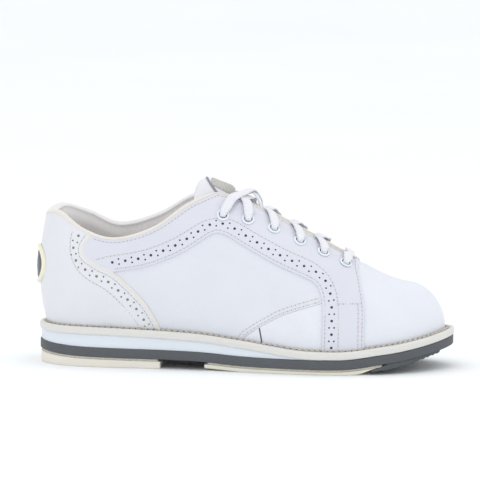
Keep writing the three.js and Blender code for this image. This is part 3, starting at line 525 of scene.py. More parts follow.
def panel_part(loop, seam, top, bottom, holes, edge, spacing):
    """Vertices, faces and pattern coordinates of one panel with rounded edges. seam marks loop points
    where the panel meets another one and has no edge."""
    seam = np.zeros(len(loop), bool) if seam is None else seam
    if area(loop * UV_MM) < 0:
        loop, seam = loop[::-1], seam[::-1]
    n = len(loop)
    p = surface(loop[:, 0], loop[:, 1])
    along = np.roll(p, -1, 0) - np.roll(p, 1, 0)
    along /= np.maximum(np.linalg.norm(along, axis=1, keepdims=True), 1e-9)
    inward = np.cross(normal(loop[:, 0], loop[:, 1]), along)
    free = (~seam).astype(float)[:, None]
    uvs, drops = [], []
    for angle in (0, 30, 60, 90):
        a = math.radians(angle)
        uvs.append(step_on(loop, inward * free * edge * (1 - math.cos(a))))
        drops.append(free[:, 0] * edge * (1 - math.sin(a)))
    inner = uvs[-1]
    rings = [hole_ring(c, r + 0.15, k) * UV_MM for c, r, k in holes]
    low, high = loop.min(0), loop.max(0)
    us = np.arange(low[0], high[0], spacing / UV_MM[0])
    ts = np.arange(low[1], high[1], spacing / UV_MM[1])
    gu, gt = np.meshgrid(us, ts, indexing="ij")
    gu = gu + 0.5 * (np.arange(len(ts)) % 2)[None] * spacing / UV_MM[0]
    grid = np.stack([gu.ravel(), gt.ravel()], 1) * UV_MM
    points, triangles = triangulate(inner * UV_MM, rings, grid, 0.62 * spacing)
    fill_uv = points / UV_MM
    uv = np.vstack([*uvs[:3], fill_uv])
    drop = np.concatenate([*drops[:3], np.zeros(len(fill_uv))])
    base = 3 * n
    total = len(uv)
    top_depth = (top(uv) if callable(top) else np.full(total, float(top))) - drop
    bottom_depth = bottom(uv) if callable(bottom) else np.full(total, float(bottom))
    vertices = [lifted(uv, top_depth), lifted(uv, bottom_depth)]
    faces = [(a + base, b + base, c + base) for a, b, c in triangles]
    faces += [(c + base + total, b + base + total, a + base + total) for a, b, c in triangles]
    for k in range(n):
        m = (k + 1) % n
        if seam[k] and seam[m]:
            continue
        for r in range(3):
            a, b, c, d = r * n + k, r * n + m, (r + 1) * n + m, (r + 1) * n + k
            faces.append((a, b, c, d))
            faces.append((a + total, d + total, c + total, b + total))
        faces.append((k + total, m + total, m, k))
    pattern = [uv, uv]
    start = base + n
    extra = 2 * total
    for c, r, count in holes:
        lip = hole_ring(c, r, count)
        depth = (top(lip) if callable(top) else np.full(count, float(top))) - 0.15
        vertices.append(lifted(lip, depth))
        pattern.append(lip)
        for k in range(count):
            m = (k + 1) % count
            faces.append((start + m, start + k, extra + k, extra + m))
            faces.append((extra + m, extra + k, start + k + total, start + m + total))
        start += count
        extra += count
    return np.vstack(vertices), faces, np.vstack(pattern) * UV_MM * 0.01


def panel(name, parts, top, bottom, material, edge=0.45, spacing=2.3, weld=0.0, **more):
    """A sheet piece between two depths. parts are (loop, seam, holes) in u and t."""
    vertices, faces, pattern = [], [], []
    count = 0
    for loop, seam, holes in parts:
        v, f, p = panel_part(loop, seam, top, bottom, holes, edge, spacing)
        vertices.append(v)
        pattern.append(p)
        faces += [tuple(k + count for k in face) for face in f]
        count += len(v)
    return finish_mesh(name, np.vstack(vertices), faces, material, uvs=np.vstack(pattern), weld=weld, **more)


def grid_solid(name, top, bottom, material, **more):
    """Closed sheet between two grids of points of one shape (rows, columns, 3)."""
    rows, cols = top.shape[:2]
    n = rows * cols
    faces = []
    for i in range(rows - 1):
        for j in range(cols - 1):
            a, b, c, d = i * cols + j, i * cols + j + 1, (i + 1) * cols + j + 1, (i + 1) * cols + j
            faces.append((a, d, c, b))
            faces.append((a + n, b + n, c + n, d + n))
    border = ([j for j in range(cols)] + [i * cols + cols - 1 for i in range(1, rows)]
              + [(rows - 1) * cols + j for j in range(cols - 2, -1, -1)]
              + [i * cols for i in range(rows - 2, 0, -1)])
    for k, a in enumerate(border):
        b = border[(k + 1) % len(border)]
        faces.append((a, b, b + n, a + n))
    vertices = np.vstack([top.reshape(-1, 3), bottom.reshape(-1, 3)])
    return finish_mesh(name, vertices, faces, material, **more)


def tube_arrays(path, ups, section, closed=False, scales=None):
    """Vertices, faces and lengthwise pattern of a section swept along a path. section is (across, up)."""
    path = np.asarray(path, float)
    n = len(path)
    if closed:
        along = np.roll(path, -1, 0) - np.roll(path, 1, 0)
    else:
        along = np.gradient(path, axis=0)
    along /= np.maximum(np.linalg.norm(along, axis=1, keepdims=True), 1e-9)
    across = np.cross(along, ups)
    across /= np.linalg.norm(across, axis=1, keepdims=True)
    up = np.cross(across, along)
    sections = np.asarray(section, float)
    if sections.ndim == 2:
        sections = np.repeat(sections[None], n, 0)
    if scales is not None:
        sections = sections * np.asarray(scales).reshape(n, 1, -1)
    m = sections.shape[1]
    vertices = (path[:, None] + across[:, None] * sections[..., :1] + up[:, None] * sections[..., 1:])
    faces = []
    for i in range(n if closed else n - 1):
        k = (i + 1) % n
        for j in range(m):
            q = (j + 1) % m
            faces.append((i * m + j, i * m + q, k * m + q, k * m + j))
    if not closed:
        faces.append(tuple(range(m))[::-1])
        faces.append(tuple((n - 1) * m + j for j in range(m)))
    length = np.concatenate([[0], np.cumsum(np.linalg.norm(np.diff(path, axis=0), axis=1))])
    u = np.repeat(length, m)
    v = np.tile(np.arange(m) / m, n)
    return vertices.reshape(-1, 3), faces, np.stack([u, v], 1)


def ellipse(width, height, count):
    a = 2 * np.pi * np.arange(count) / count
    return np.stack([np.cos(a) * width / 2, np.sin(a) * height / 2], 1)


def sweep(name, path, ups, section, material, closed=False, scales=None, **more):
    vertices, faces, pattern = tube_arrays(path, ups, section, closed, scales)
    return finish_mesh(name, vertices, faces, material, uvs=pattern, **more)


# ---------------------------------------------------------------- materials
def nodes_of(name):
    material = bpy.data.materials.new(name)
    material.use_nodes = True
    tree = material.node_tree
    shader = tree.nodes["Principled BSDF"]
    return material, tree, shader


def add_node(tree, kind, inputs=None, **settings):
    node = tree.nodes.new(kind)
    for key, value in settings.items():
        setattr(node, key, value)
    for key, value in (inputs or {}).items():
        if isinstance(value, bpy.types.NodeSocket):
            tree.links.new(value, node.inputs[key])
        else:
            node.inputs[key].default_value = value
    return node


def coordinates(tree, source="Object"):
    return add_node(tree, "ShaderNodeTexCoord").outputs[source]


def noise(tree, vector, scale, detail=3.0, rough=0.5):
    node = add_node(tree, "ShaderNodeTexNoise", {"Vector": vector, "Scale": scale, "Detail": detail,
                                                 "Roughness": rough})
    return node.outputs["Fac"]


def cells(tree, vector, scale, feature="DISTANCE_TO_EDGE", randomness=1.0):
    node = add_node(tree, "ShaderNodeTexVoronoi",
                    {"Vector": vector, "Scale": scale, "Randomness": randomness},
                    feature=feature)
    return node.outputs["Distance"]


def math_node(tree, operation, a, b=0.0, clamp=False):
    node = tree.nodes.new("ShaderNodeMath")
    node.operation = operation
    node.use_clamp = clamp
    for socket, value in zip(node.inputs, (a, b)):
        if isinstance(value, bpy.types.NodeSocket):
            tree.links.new(value, socket)
        else:
            socket.default_value = value
    return node.outputs[0]


def remap(tree, value, low, high, to_low, to_high):
    node = add_node(tree, "ShaderNodeMapRange", {"Value": value, "From Min": low, "From Max": high,
                                                 "To Min": to_low, "To Max": to_high})
    return node.outputs["Result"]


def ramp(tree, value, low, high, dark, light):
    """Colour from dark to light as value goes from low to high."""
    share = remap(tree, value, low, high, 0.0, 1.0)
    node = add_node(tree, "ShaderNodeMix", {"Factor": share}, data_type="RGBA")
    node.inputs["A"].default_value = (*dark, 1)
    node.inputs["B"].default_value = (*light, 1)
    return node.outputs["Result"]


def bump(tree, heights, shader):
    """heights: (socket, distance in millimetres)."""
    last = None
    for height, distance in heights:
        node = add_node(tree, "ShaderNodeBump",
                        {"Height": height, "Distance": distance * MM, "Strength": 1.0})
        if last is not None:
            tree.links.new(last, node.inputs["Normal"])
        last = node.outputs["Normal"]
    tree.links.new(last, shader.inputs["Normal"])


def linear(r, g, b):
    """Linear colour from 0-255 display values."""
    out = []
    for c in (r, g, b):
        c /= 255
        out.append(c / 12.92 if c <= 0.04045 else ((c + 0.055) / 1.055) ** 2.4)
    return tuple(out)


def shade(colour, factor):
    return tuple(c * factor for c in colour)


def leather(name, colour, roughness=0.42, grain=0.05, mottling=0.03):
    material, tree, shader = nodes_of(name)
    at = coordinates(tree)
    wide = noise(tree, at, 38.0, 3.0)
    tree.links.new(ramp(tree, wide, 0.3, 0.7, shade(colour, 1 - mottling), colour),
                   shader.inputs["Base Color"])
    warp = add_node(tree, "ShaderNodeTexNoise",
                    {"Vector": at, "Scale": 420.0, "Detail": 1.0}).outputs["Color"]
    bent = add_node(tree, "ShaderNodeMix", {"Factor": 0.0012, "A": at, "B": warp}, data_type="VECTOR")
    pebble = cells(tree, bent.outputs["Result"], 1150.0)
    pores = noise(tree, at, 2600.0, 2.0)
    folds = noise(tree, at, 95.0, 4.0, 0.55)
    tree.links.new(remap(tree, folds, 0.3, 0.7, roughness - 0.05, roughness + 0.06),
                   shader.inputs["Roughness"])
    bump(tree, [(folds, 0.28), (remap(tree, pebble, 0.0, 0.35, 0.0, 1.0), grain), (pores, 0.03)], shader)
    shader.inputs["Specular IOR Level"].default_value = 0.42
    shader.inputs["Coat Weight"].default_value = 0.08
    shader.inputs["Coat Roughness"].default_value = 0.35
    return material


def cloth(name, colour, pitch, roughness=0.9, depth=0.09, contrast=0.14):
    """Fine knitted or woven cloth; pitch is the thread pitch in millimetres."""
    material, tree, shader = nodes_of(name)
    at = coordinates(tree)
    turn_node = add_node(tree, "ShaderNodeMapping", {"Vector": at, "Rotation": (0.5, 0.62, 0.4)})
    twisted = turn_node.outputs["Vector"]
    scale = 1000.0 / pitch
    loops = cells(tree, twisted, scale, "F1", 0.35)
    fuzz = noise(tree, at, scale * 1.7, 3.0, 0.7)
    wide = noise(tree, at, 60.0, 3.0)
    height = math_node(tree, "ADD", math_node(tree, "MULTIPLY", loops, -1.1), fuzz)
    tone = math_node(tree, "ADD", math_node(tree, "MULTIPLY", wide, 0.5),
                     math_node(tree, "MULTIPLY", height, 0.5))
    tree.links.new(ramp(tree, tone, 0.1, 0.5, shade(colour, 1 - contrast), colour),
                   shader.inputs["Base Color"])
    shader.inputs["Roughness"].default_value = roughness
    shader.inputs["Sheen Weight"].default_value = 0.25
    shader.inputs["Sheen Roughness"].default_value = 0.5
    bump(tree, [(height, depth)], shader)
    return material


def moulded(name, colour, roughness=0.6, speckle=0.06, grit=0.05, scale=900.0, wide_scale=55.0):
    """Moulded rubber, foam or plastic with a slight grain and worn tone."""
    material, tree, shader = nodes_of(name)
    at = coordinates(tree)
    fine = noise(tree, at, scale, 3.0, 0.6)
    wide = noise(tree, at, wide_scale, 4.0)
    tone = math_node(tree, "ADD", math_node(tree, "MULTIPLY", fine, 0.5),
                     math_node(tree, "MULTIPLY", wide, 0.5))
    tree.links.new(ramp(tree, tone, 0.36, 0.64, shade(colour, 1 - speckle),
                        shade(colour, 1 + speckle * 0.4)),
                   shader.inputs["Base Color"])
    tree.links.new(remap(tree, wide, 0.3, 0.7, roughness - 0.05, roughness + 0.06),
                   shader.inputs["Roughness"])
    bump(tree, [(fine, grit), (wide, 0.1)], shader)
    return material


def layered(name, colour, line_pitch, roughness=0.7, depth=0.06, speckle=0.05):
    """Cut sheet material whose edges show fine level layers."""
    material, tree, shader = nodes_of(name)
    at = coordinates(tree)
    stretched = add_node(tree, "ShaderNodeMapping",
                         {"Vector": at, "Scale": (0.04, 0.04, 1.0)}).outputs["Vector"]
    lines = noise(tree, stretched, 1000.0 / line_pitch, 3.0, 0.6)
    fine = noise(tree, at, 800.0, 3.0)
    tone = math_node(tree, "ADD", math_node(tree, "MULTIPLY", lines, 0.6),
                     math_node(tree, "MULTIPLY", fine, 0.4))
    tree.links.new(ramp(tree, tone, 0.34, 0.66, shade(colour, 1 - speckle),
                        shade(colour, 1 + speckle * 0.3)),
                   shader.inputs["Base Color"])
    shader.inputs["Roughness"].default_value = roughness
    bump(tree, [(lines, depth), (fine, 0.04)], shader)
    return material


def braid(name, colour, pitch=1.5, width_repeats=10.0, depth=0.16):
    """Flat woven lace: chevrons that run with the length (u in millimetres) and round the section (v)."""
    material, tree, shader = nodes_of(name)
    uv = add_node(tree, "ShaderNodeUVMap", uv_map="pattern").outputs["UV"]
    split = add_node(tree, "ShaderNodeSeparateXYZ", {"Vector": uv})
    length, turn_round = split.outputs["X"], split.outputs["Y"]
    zigzag = math_node(tree, "PINGPONG", math_node(tree, "MULTIPLY", turn_round, width_repeats), 0.5)
    phase = math_node(tree, "ADD", math_node(tree, "DIVIDE", length, pitch), zigzag)
    wave = math_node(tree, "SINE", math_node(tree, "MULTIPLY", phase, 2 * math.pi))
    columns = math_node(tree, "PINGPONG", math_node(tree, "MULTIPLY", turn_round, width_repeats * 2), 0.5)
    at = coordinates(tree)
    fuzz = noise(tree, at, 1900.0, 3.0, 0.7)
    wide = noise(tree, at, 130.0, 2.0)
    height = math_node(tree, "ADD", math_node(tree, "MULTIPLY", wave, 0.35), columns)
    height = math_node(tree, "ADD", height, math_node(tree, "MULTIPLY", fuzz, 0.5))
    tone = math_node(tree, "ADD", height, wide)
    tree.links.new(ramp(tree, tone, 0.2, 1.2, shade(colour, 0.86), colour), shader.inputs["Base Color"])
    shader.inputs["Roughness"].default_value = 0.85
    shader.inputs["Sheen Weight"].default_value = 0.3
    bump(tree, [(height, depth)], shader)
    return material


def metal(name, colour, roughness, metallic):
    material, tree, shader = nodes_of(name)
    at = coordinates(tree)
    fine = noise(tree, at, 1500.0, 2.0)
    wide = noise(tree, at, 220.0, 2.0)
    tree.links.new(ramp(tree, wide, 0.3, 0.7, shade(colour, 0.94), colour), shader.inputs["Base Color"])
    tree.links.new(remap(tree, fine, 0.3, 0.7, roughness - 0.05, roughness + 0.08),
                   shader.inputs["Roughness"])
    shader.inputs["Metallic"].default_value = metallic
    shader.inputs["Coat Weight"].default_value = 0.5
    shader.inputs["Coat Roughness"].default_value = 0.15
    bump(tree, [(fine, 0.01)], shader)
    return material


WHITE = leather("white_leather", linear(222, 225, 233))
VAMP_WHITE = leather("vamp_leather", linear(227, 230, 238), 0.4)
FOXING_WHITE = leather("foxing_leather", linear(225, 227, 232), 0.44)
SADDLE_WHITE = leather("saddle_leather", linear(218, 220, 230), 0.44)
TONGUE_WHITE = leather("tongue_leather", linear(231, 231, 236), 0.5, 0.07)
LINING_CLOTH = cloth("lining_tricot", linear(241, 238, 237), 0.8)
COLLAR_CLOTH = cloth("collar_tricot", linear(240, 238, 238), 0.8)
FOOTBED_CLOTH = cloth("footbed_cloth", linear(214, 210, 206), 1.0, contrast=0.2)
BINDING = cloth("binding_tape", linear(234, 229, 220), 0.6, 0.75, 0.05, 0.08)
LABEL_CLOTH = cloth("label_weave", linear(206, 203, 199), 1.1, 0.9, 0.2, 0.3)
THREAD = cloth("thread", linear(222, 218, 217), 0.35, 0.8, 0.08, 0.16)
WELT_THREAD = cloth("welt_thread", linear(206, 198, 186), 0.6, 0.8, 0.12, 0.25)
# Needle-hole discs: their colour is painted shade of the holes between stitches.
NEEDLE_HOLE_SHADE = moulded("needle_hole_shade", linear(160, 156, 158), 0.9)
# Strips under the perforations: a darker backing cloth, with painted shade of the holes in their colour.
DARK_BACKING_AND_SHADE = moulded("perforation_backing_and_shade", linear(72, 78, 86), 0.9)
GREY_BACKING_AND_SHADE = moulded("foxing_backing_and_shade", linear(150, 148, 134), 0.9)
RUBBER = moulded("dark_rubber", linear(84, 88, 92), 0.62, 0.1, 0.07)
TOE_RUBBER = moulded("toe_rubber", linear(82, 87, 90), 0.72, 0.16, 0.16, 520.0)
WEDGE_FOAM = layered("wedge_foam", linear(222, 229, 237), 2.6, 0.62, 0.03, 0.02)
WELT_CREAM = layered("welt_cream", linear(221, 220, 216), 1.6, 0.6, 0.05, 0.05)
HEEL_RUBBER = layered("heel_rubber", linear(230, 226, 216), 1.2, 0.8, 0.07, 0.06)
SLIDE_SUEDE = cloth("slide_microfibre", linear(233, 230, 217), 0.5, 0.95, 0.05, 0.1)
HOOK_SHEET = cloth("hook_sheet", linear(226, 221, 206), 1.4, 0.95, 0.3, 0.3)
BOARD = cloth("insole_fibre", linear(200, 178, 138), 1.6, 0.9, 0.05, 0.2)
CORK = moulded("cork_filler", linear(186, 152, 104), 0.9, 0.3, 0.3, 420.0)
FOAM = moulded("open_foam", linear(232, 217, 160), 0.95, 0.12, 0.3, 1300.0)
STEEL = metal("shank_steel", linear(150, 155, 160), 0.34, 1.0)
ENAMEL = metal("eyelet_enamel", linear(232, 239, 247), 0.24, 0.0)
LACE_WHITE = braid("lace_weave", linear(234, 235, 241))
AGLET_FILM = moulded("aglet_film", linear(240, 241, 243), 0.2, 0.02, 0.01)
BADGE_DARK = moulded("badge_dark", linear(82, 86, 92), 0.34, 0.06, 0.03)
BADGE_LIGHT = moulded("badge_relief", linear(176, 179, 184), 0.4, 0.05, 0.03)
BADGE_CREAM = moulded("badge_rim", linear(240, 235, 214), 0.5, 0.04, 0.03)
RING_GREY = moulded("label_ring", linear(140, 140, 150), 0.5, 0.05, 0.03)


# ---------------------------------------------------------------- top edge of the upper
def throat_plan(sign):
    """Plan line of the throat edge on one side, from the ankle to the front of the opening."""
    end = np.array([THROAT_FRONT - THROAT_HALF, 2 + sign * THROAT_HALF])
    start = np.array([-60.0, sign * THROAT_HALF])
    line = start + (end - start) * np.linspace(0, 1, 160)[:, None]
    meet = math.asin(1.7 / THROAT_HALF)
    angles = np.linspace(sign * math.pi / 2, meet, 40)[1:]
    arc = np.stack([end[0] + THROAT_HALF * np.cos(angles), 2 + THROAT_HALF * np.sin(angles)], 1)
    return np.vstack([line, arc])


def top_edge(side):
    """(u, t) from the back of the heel along the collar, down the throat edge and to its front."""
    sign = -1 if side == "lateral" else 1
    plan = throat_plan(sign)
    plan = plan[plan[:, 0] > -34]
    throat = trace(plan, side, PLAN_VIEW, (1, None))
    corner = throat[0, 0]
    start = 0 if side == "lateral" else COUNT
    collar = np.stack([np.linspace(start, corner, 300), np.ones(300)], 1)
    edge = resample(np.vstack([collar[:-1], throat]) * UV_MM, 0.8)
    edge = blur(edge, 3.2) / UV_MM
    edge[:, 1] = np.clip(edge[:, 1], 0, 1)
    front = np.array([[FRONT_U[side], 1.0]])
    return np.vstack([edge[:-2], front])


def ridge_u(x):
    """Station on the outer side where the ridge line has this x."""
    us = np.linspace(RIDGE, TOE, 2000)
    return float(np.interp(x, top_at(us)[:, 0], us))


FRONT = ridge_u(69.8)
FRONT_U = {"lateral": FRONT, "medial": COUNT - FRONT}
EDGE = {side: top_edge(side) for side in ("lateral", "medial")}


def split_at(path, curve):
    """Index on path nearest to the last point of curve."""
    gap = np.linalg.norm((path - curve[-1]) * UV_MM, axis=1)
    return int(gap.argmin())


def reach_edge(curve, edge):
    """Pattern curve, which ends above or below the top edge, cut where it meets that edge."""
    gaps = [np.linalg.norm((edge - p) * UV_MM, axis=1).min() for p in curve]
    k = int(np.argmin(gaps))
    curve = curve[:k + 1]
    return curve, split_at(edge, curve)


def border(u_from, u_to, t, spacing=1.2):
    n = max(int(abs(u_to - u_from) * UV_MM[0] / spacing), 2)
    return np.stack([np.linspace(u_from, u_to, n + 1), np.full(n + 1, float(t))], 1)


def joined(pieces, spacing=1.15):
    """One closed (u, t) loop from pieces given as (points, is_seam)."""
    loop, seam = [], []
    for points, is_seam in pieces:
        points = points if is_seam else resample_uv(points, spacing)
        for p in points:
            if loop and np.linalg.norm((p - loop[-1]) * UV_MM) < 0.25:
                seam[-1] = seam[-1] or is_seam
                if is_seam:
                    loop[-1] = p
                continue
            loop.append(p)
            seam.append(is_seam)
    if np.linalg.norm((loop[0] - loop[-1]) * UV_MM) < 0.25:
        seam[0] = seam[0] or seam[-1]
        if seam[-1]:
            loop[0] = loop[-1]
        loop.pop()
        seam.pop()
    return np.array(loop), np.array(seam)


def medial_first(side, value):
    return value if side == "lateral" else COUNT - value


SADDLE_LINE = curve_through(SADDLE_LOWER)
SADDLE_BACK = SADDLE_LINE[0] - np.arange(14, 0, -0.9)[:, None] * [0.97, 0.26]
LONG_SADDLE_LINE = np.vstack([SADDLE_BACK, SADDLE_LINE])
FOXING_LINE = curve_through(FOXING_FRONT)
VAMP_LINE = curve_through(VAMP_REAR)
FRONT_LINE = curve_through(SADDLE_FRONT)
RIDGE_SEAM_X = {"vamp": 76.0, "saddle": 73.6}

curves = {}
for side in ("lateral", "medial"):
    vamp = trace(VAMP_LINE, side, ends=(0, 1))
    vamp[-1] = (medial_first(side, ridge_u(RIDGE_SEAM_X["vamp"])), 1)
    front = trace(FRONT_LINE, side, ends=(0, 1))
    front[-1] = (medial_first(side, ridge_u(RIDGE_SEAM_X["saddle"])), 1)
    foxing = trace(FOXING_LINE, side, ends=(1, 0))
    lower = trace(SADDLE_LINE, side, ends=(None, 0))
    curves[side] = {"vamp": vamp, "front": front, "foxing": foxing, "lower": lower}


def eyelet_frames(side):
    sign = -1 if side == "lateral" else 1
    uv, _ = locate([(x, sign * EYELET_Y) for x in EYELET_X], side, PLAN_VIEW)
    return uv


EYELETS = {side: eyelet_frames(side) for side in ("lateral", "medial")}


# ---------------------------------------------------------------- perforations and stitch rows
def band_holes(line, offset, side, start, stop, pitch=8.8, sign=1):
    """Holes along a band: one large on its middle, then a pair. Returns large and small centres."""
    middle = resample(offset_curve(line, offset), pitch / 2)
    upper = offset_curve(middle, 1.65)
    under = offset_curve(middle, -1.65)
    chosen = np.arange(len(middle))
    chosen = chosen[(chosen >= start) & (chosen < len(middle) - stop)]
    large = middle[chosen[::2]]
    small = np.vstack([upper[chosen[1::2]], under[chosen[1::2]]])
    out = []
    for points, radius, count in ((large, 0.92, 12), (small, 0.6, 8)):
        uv, miss = locate(points, side, SIDE_VIEW)
        good = (miss < 0.3) & (uv[:, 1] > 0.025) & (uv[:, 1] < 0.975)
        out += [(tuple(c), radius, count) for c in uv[good]]
    return out


stitch_paths = []


def stitch_along(uv, depth, group, pitch=2.75, length=1.75, radius=0.34):
    stitch_paths.append((resample_uv(uv, 0.5), depth, group, pitch, length, radius))


def stitch_line(points, side, depth, group, **more):
    uv, miss = locate(points, side, SIDE_VIEW)
    good = (miss < 0.3) & (uv[:, 1] > 0.01) & (uv[:, 1] < 0.985)
    run = np.flatnonzero(good)
    if len(run):
        stitch_along(uv[run[0]:run[-1] + 1], depth, group, **more)


def capsule_template():
    rings = [(-1.0, 0.0), (-0.86, 0.6), (-0.5, 0.95), (0.0, 1.0), (0.5, 0.95), (0.86, 0.6), (1.0, 0.0)]
    sides = 8
    points = [(-1.0, 0.0, 0.0)]
    for a, r in rings[1:-1]:
        for k in range(sides):
            w = 2 * math.pi * k / sides
            points.append((a, r * math.cos(w), r * math.sin(w)))
    points.append((1.0, 0.0, 0.0))
    faces = []
    last = len(points) - 1
    for k in range(sides):
        m = (k + 1) % sides
        faces.append((0, 1 + m, 1 + k))
        for r in range(len(rings) - 3):
            a = 1 + r * sides
            faces.append((a + k, a + m, a + sides + m, a + sides + k))
        a = 1 + (len(rings) - 3) * sides
        faces.append((a + k, a + m, last))
    return np.array(points), faces


CAPSULE, CAPSULE_FACES = capsule_template()


def thread_mesh(name, runs, materials, body="shoe", slot=None, hole_shade=True):
    """runs: (points, normals, pitch, length, radius). Each stitch lies sunk between two needle holes, shown
    as dark discs whose colour is painted shade.
    """
    vertices, faces, kinds = [], [], []
    count = 0
    for points, normals, pitch, length, radius in runs:
        arc = np.concatenate([[0], np.cumsum(np.linalg.norm(np.diff(points, axis=0), axis=1))])
        n = int(arc[-1] / pitch)
        if n < 1:
            continue
        at = (np.arange(n) + 0.5) * arc[-1] / n

        def sample(values, where):
            return np.stack([np.interp(where, arc, values[:, k]) for k in range(3)], 1)
        middle = sample(points, at)
        n_at = sample(normals, at)
        n_at /= np.linalg.norm(n_at, axis=1, keepdims=True)
        along = sample(points, np.minimum(at + 0.4, arc[-1])) - sample(points, np.maximum(at - 0.4, 0))
        along /= np.linalg.norm(along, axis=1, keepdims=True)
        across = np.cross(n_at, along)
        sway = rng.normal(0, 0.04, (n, 1))
        along = along + across * sway
        tilt = rng.normal(0, 0.02, (n, 1))
        for k in range(n):
            p = (middle[k] + CAPSULE[:, :1] * along[k] * length / 2 + CAPSULE[:, 1:2] * across[k] * radius
                 + CAPSULE[:, 2:] * n_at[k] * radius * 0.8 + n_at[k] * (0.12 + tilt[k]) * radius)
            p = p - n_at[k] * (CAPSULE[:, :1] ** 2) * radius * 0.55
            vertices.append(p)
            faces += [tuple(i + count for i in f) for f in CAPSULE_FACES]
            kinds += [0] * len(CAPSULE_FACES)
            count += len(p)
            if not hole_shade:
                continue
            # dark disc at the needle hole; its colour is painted shade in the hole
            a = 2 * np.pi * np.arange(8) / 8
            centre = middle[k] + along[k] * pitch / 2
            disc = (centre + np.cos(a)[:, None] * along[k] * 0.36 + np.sin(a)[:, None] * across[k] * 0.42)
            top = disc + n_at[k] * 0.035
            low = disc - n_at[k] * 0.2
            vertices.append(np.vstack([top, low]))
            ring = list(range(8))
            faces.append(tuple(count + i for i in ring))
            faces.append(tuple(count + 8 + i for i in reversed(ring)))
            faces += [(count + i, count + 8 + i, count + 8 + (i + 1) % 8, count + (i + 1) % 8) for i in ring]
            kinds += [1] * 10
            count += 16
    return finish_mesh(name, np.vstack(vertices), faces, materials, body=body, slot=slot,
                       face_materials=kinds)


# ---------------------------------------------------------------- leather pieces of the upper
def relief(uv):
    """Slight unevenness of lasted leather."""
    u, t = np.mod(uv[:, 0], COUNT), uv[:, 1]
    u = np.minimum(u, COUNT - u)
    wave = (np.sin(2.1 * u + 5 * t) * np.sin(9 * t + 0.7 * u) + 0.6 * np.sin(5.3 * u - 7 * t + 1.0)
            + 0.4 * np.sin(11.7 * u + 13 * t))
    return 0.1 * wave * smoothstep(t / 0.15) * smoothstep((1 - t) / 0.2)


def wrinkles(uv):
    """Soft folds behind the side of the ball and over the heel seat."""
    u, t = uv[:, 0], uv[:, 1]
    v = np.where(np.mod(u, COUNT) > TOE, COUNT - np.mod(u, COUNT), np.mod(u, COUNT))
    flex = np.exp(-((v - 7.1) / 0.5) ** 2 - ((t - 0.33) / 0.2) ** 2)
    heel = np.exp(-((v - 3.3) / 0.6) ** 2 - ((t - 0.25) / 0.2) ** 2)
    return 0.16 * flex * np.sin(26 * v - 9 * t) + 0.12 * heel * np.sin(15 * v + 16 * t)


def skin(level):
    return lambda uv: level + relief(uv) + wrinkles(uv)


def build_vamp():
    left, right = curves["lateral"]["vamp"], curves["medial"]["vamp"]
    ridge = left[-1, 0]
    half = np.linspace(ridge, TOE, 60)
    seam = np.concatenate([half, COUNT - half[::-1][1:]])
    seam = np.stack([seam, np.ones(len(seam))], 1)
    loop = joined([(border(left[0, 0], right[0, 0], 0), False), (right, False), (seam[::-1], True),
                   (left[::-1], False)])
    panel("vamp_leather", [(*loop, [])], skin(0.0), -LEATHER, VAMP_WHITE, weld=0.02, replaced=["vamp"],
          slot="white_leather")


def build_quarters():
    for side in ("lateral", "medial"):
        heel = 0.02 if side == "lateral" else COUNT - 0.02
        vamp = curves[side]["vamp"]
        ridge = border(vamp[-1, 0], EDGE[side][-1, 0], 1)
        edge = EDGE[side][np.abs(EDGE[side][:, 0] - heel) > 0.03]
        wall = np.stack([np.full(60, heel), np.linspace(1, 0, 60)], 1)
        loop = joined([(border(heel, vamp[0, 0], 0), False), (vamp, False), (ridge, False),
                       (edge[::-1], False), (wall, False)])
        holes = [(tuple(c), EYELET_HOLE, HOLE_SIDES) for c in EYELETS[side]]
        panel(f"quarter_leather_{side}", [(*loop, holes)], skin(0.25), -LEATHER, WHITE, edge=0.5,
              replaced=[f"quarter_{side}"], slot="white_leather")


# Perforations and eyelet holes, in millimetres: how far the band's middle lies from its edge, the
# radius and facets of a lace hole, and how near to one a perforation may be, middle to middle.
BAND_MIDDLE = 6.2
EYELET_HOLE = 3.3
HOLE_SIDES = 24
EYELET_CLEARANCE = 5.2


def build_foxing():
    left, li = reach_edge(curves["lateral"]["foxing"][::-1], EDGE["lateral"])
    right, ri = reach_edge(curves["medial"]["foxing"][::-1], EDGE["medial"])
    right = right - [COUNT, 0]
    right_edge = EDGE["medial"][:ri + 1] - [COUNT, 0]
    top = np.vstack([EDGE["lateral"][:li + 1][::-1], right_edge[1:]])
    loop = joined([(border(right[0, 0], left[0, 0], 0), False), (left, False), (top, False),
                   (right[::-1], False)])
    holes = []
    for side in ("lateral", "medial"):
        holes += [((c[0] - (COUNT if side == "medial" else 0), c[1]), r, k)
                  for c, r, k in band_holes(FOXING_LINE, -BAND_MIDDLE, side, 3, 1)]
    panel("foxing_leather", [(*loop, holes)], skin(OVERLAY_TOP - 0.1), 0.05, FOXING_WHITE,
          replaced=["foxing"], slot="foxing_leather")
    for side in ("lateral", "medial"):
        line = FOXING_LINE
        stitch_line(offset_curve(line, -2.6), side, OVERLAY_TOP - 0.1, "foxing")
        stitch_line(blur(offset_curve(line, -11.2), 6)[14:], side, OVERLAY_TOP - 0.1, "foxing")
        edge = curves[side]["foxing"]
        p = resample_uv(edge, 1.0)
        path = lifted(p, 0.95)
        sweep(f"foxing_piping_{side}", path, normal(p[:, 0], p[:, 1]), ellipse(1.8, 1.9, 14), BINDING,
              slot="binding_tape")


def saddle_loop(side):
    c = curves[side]
    edge = EDGE[side]
    foxing, start = reach_edge(c["foxing"][::-1], edge)
    # foxing runs up from the sole to the collar; the saddle starts where its lower line leaves it
    meet = int(np.linalg.norm((foxing - c["lower"][0]) * UV_MM, axis=1).argmin())
    rear = foxing[meet:]
    ridge = border(c["front"][-1, 0], edge[-1, 0], 1, 0.8)
    return joined([(rear[::-1], False), (c["lower"][1:], False),
                   (border(c["lower"][-1, 0], c["front"][0, 0], 0), False),
                   (c["front"], False), (ridge, True), (edge[start:][::-1], False)])


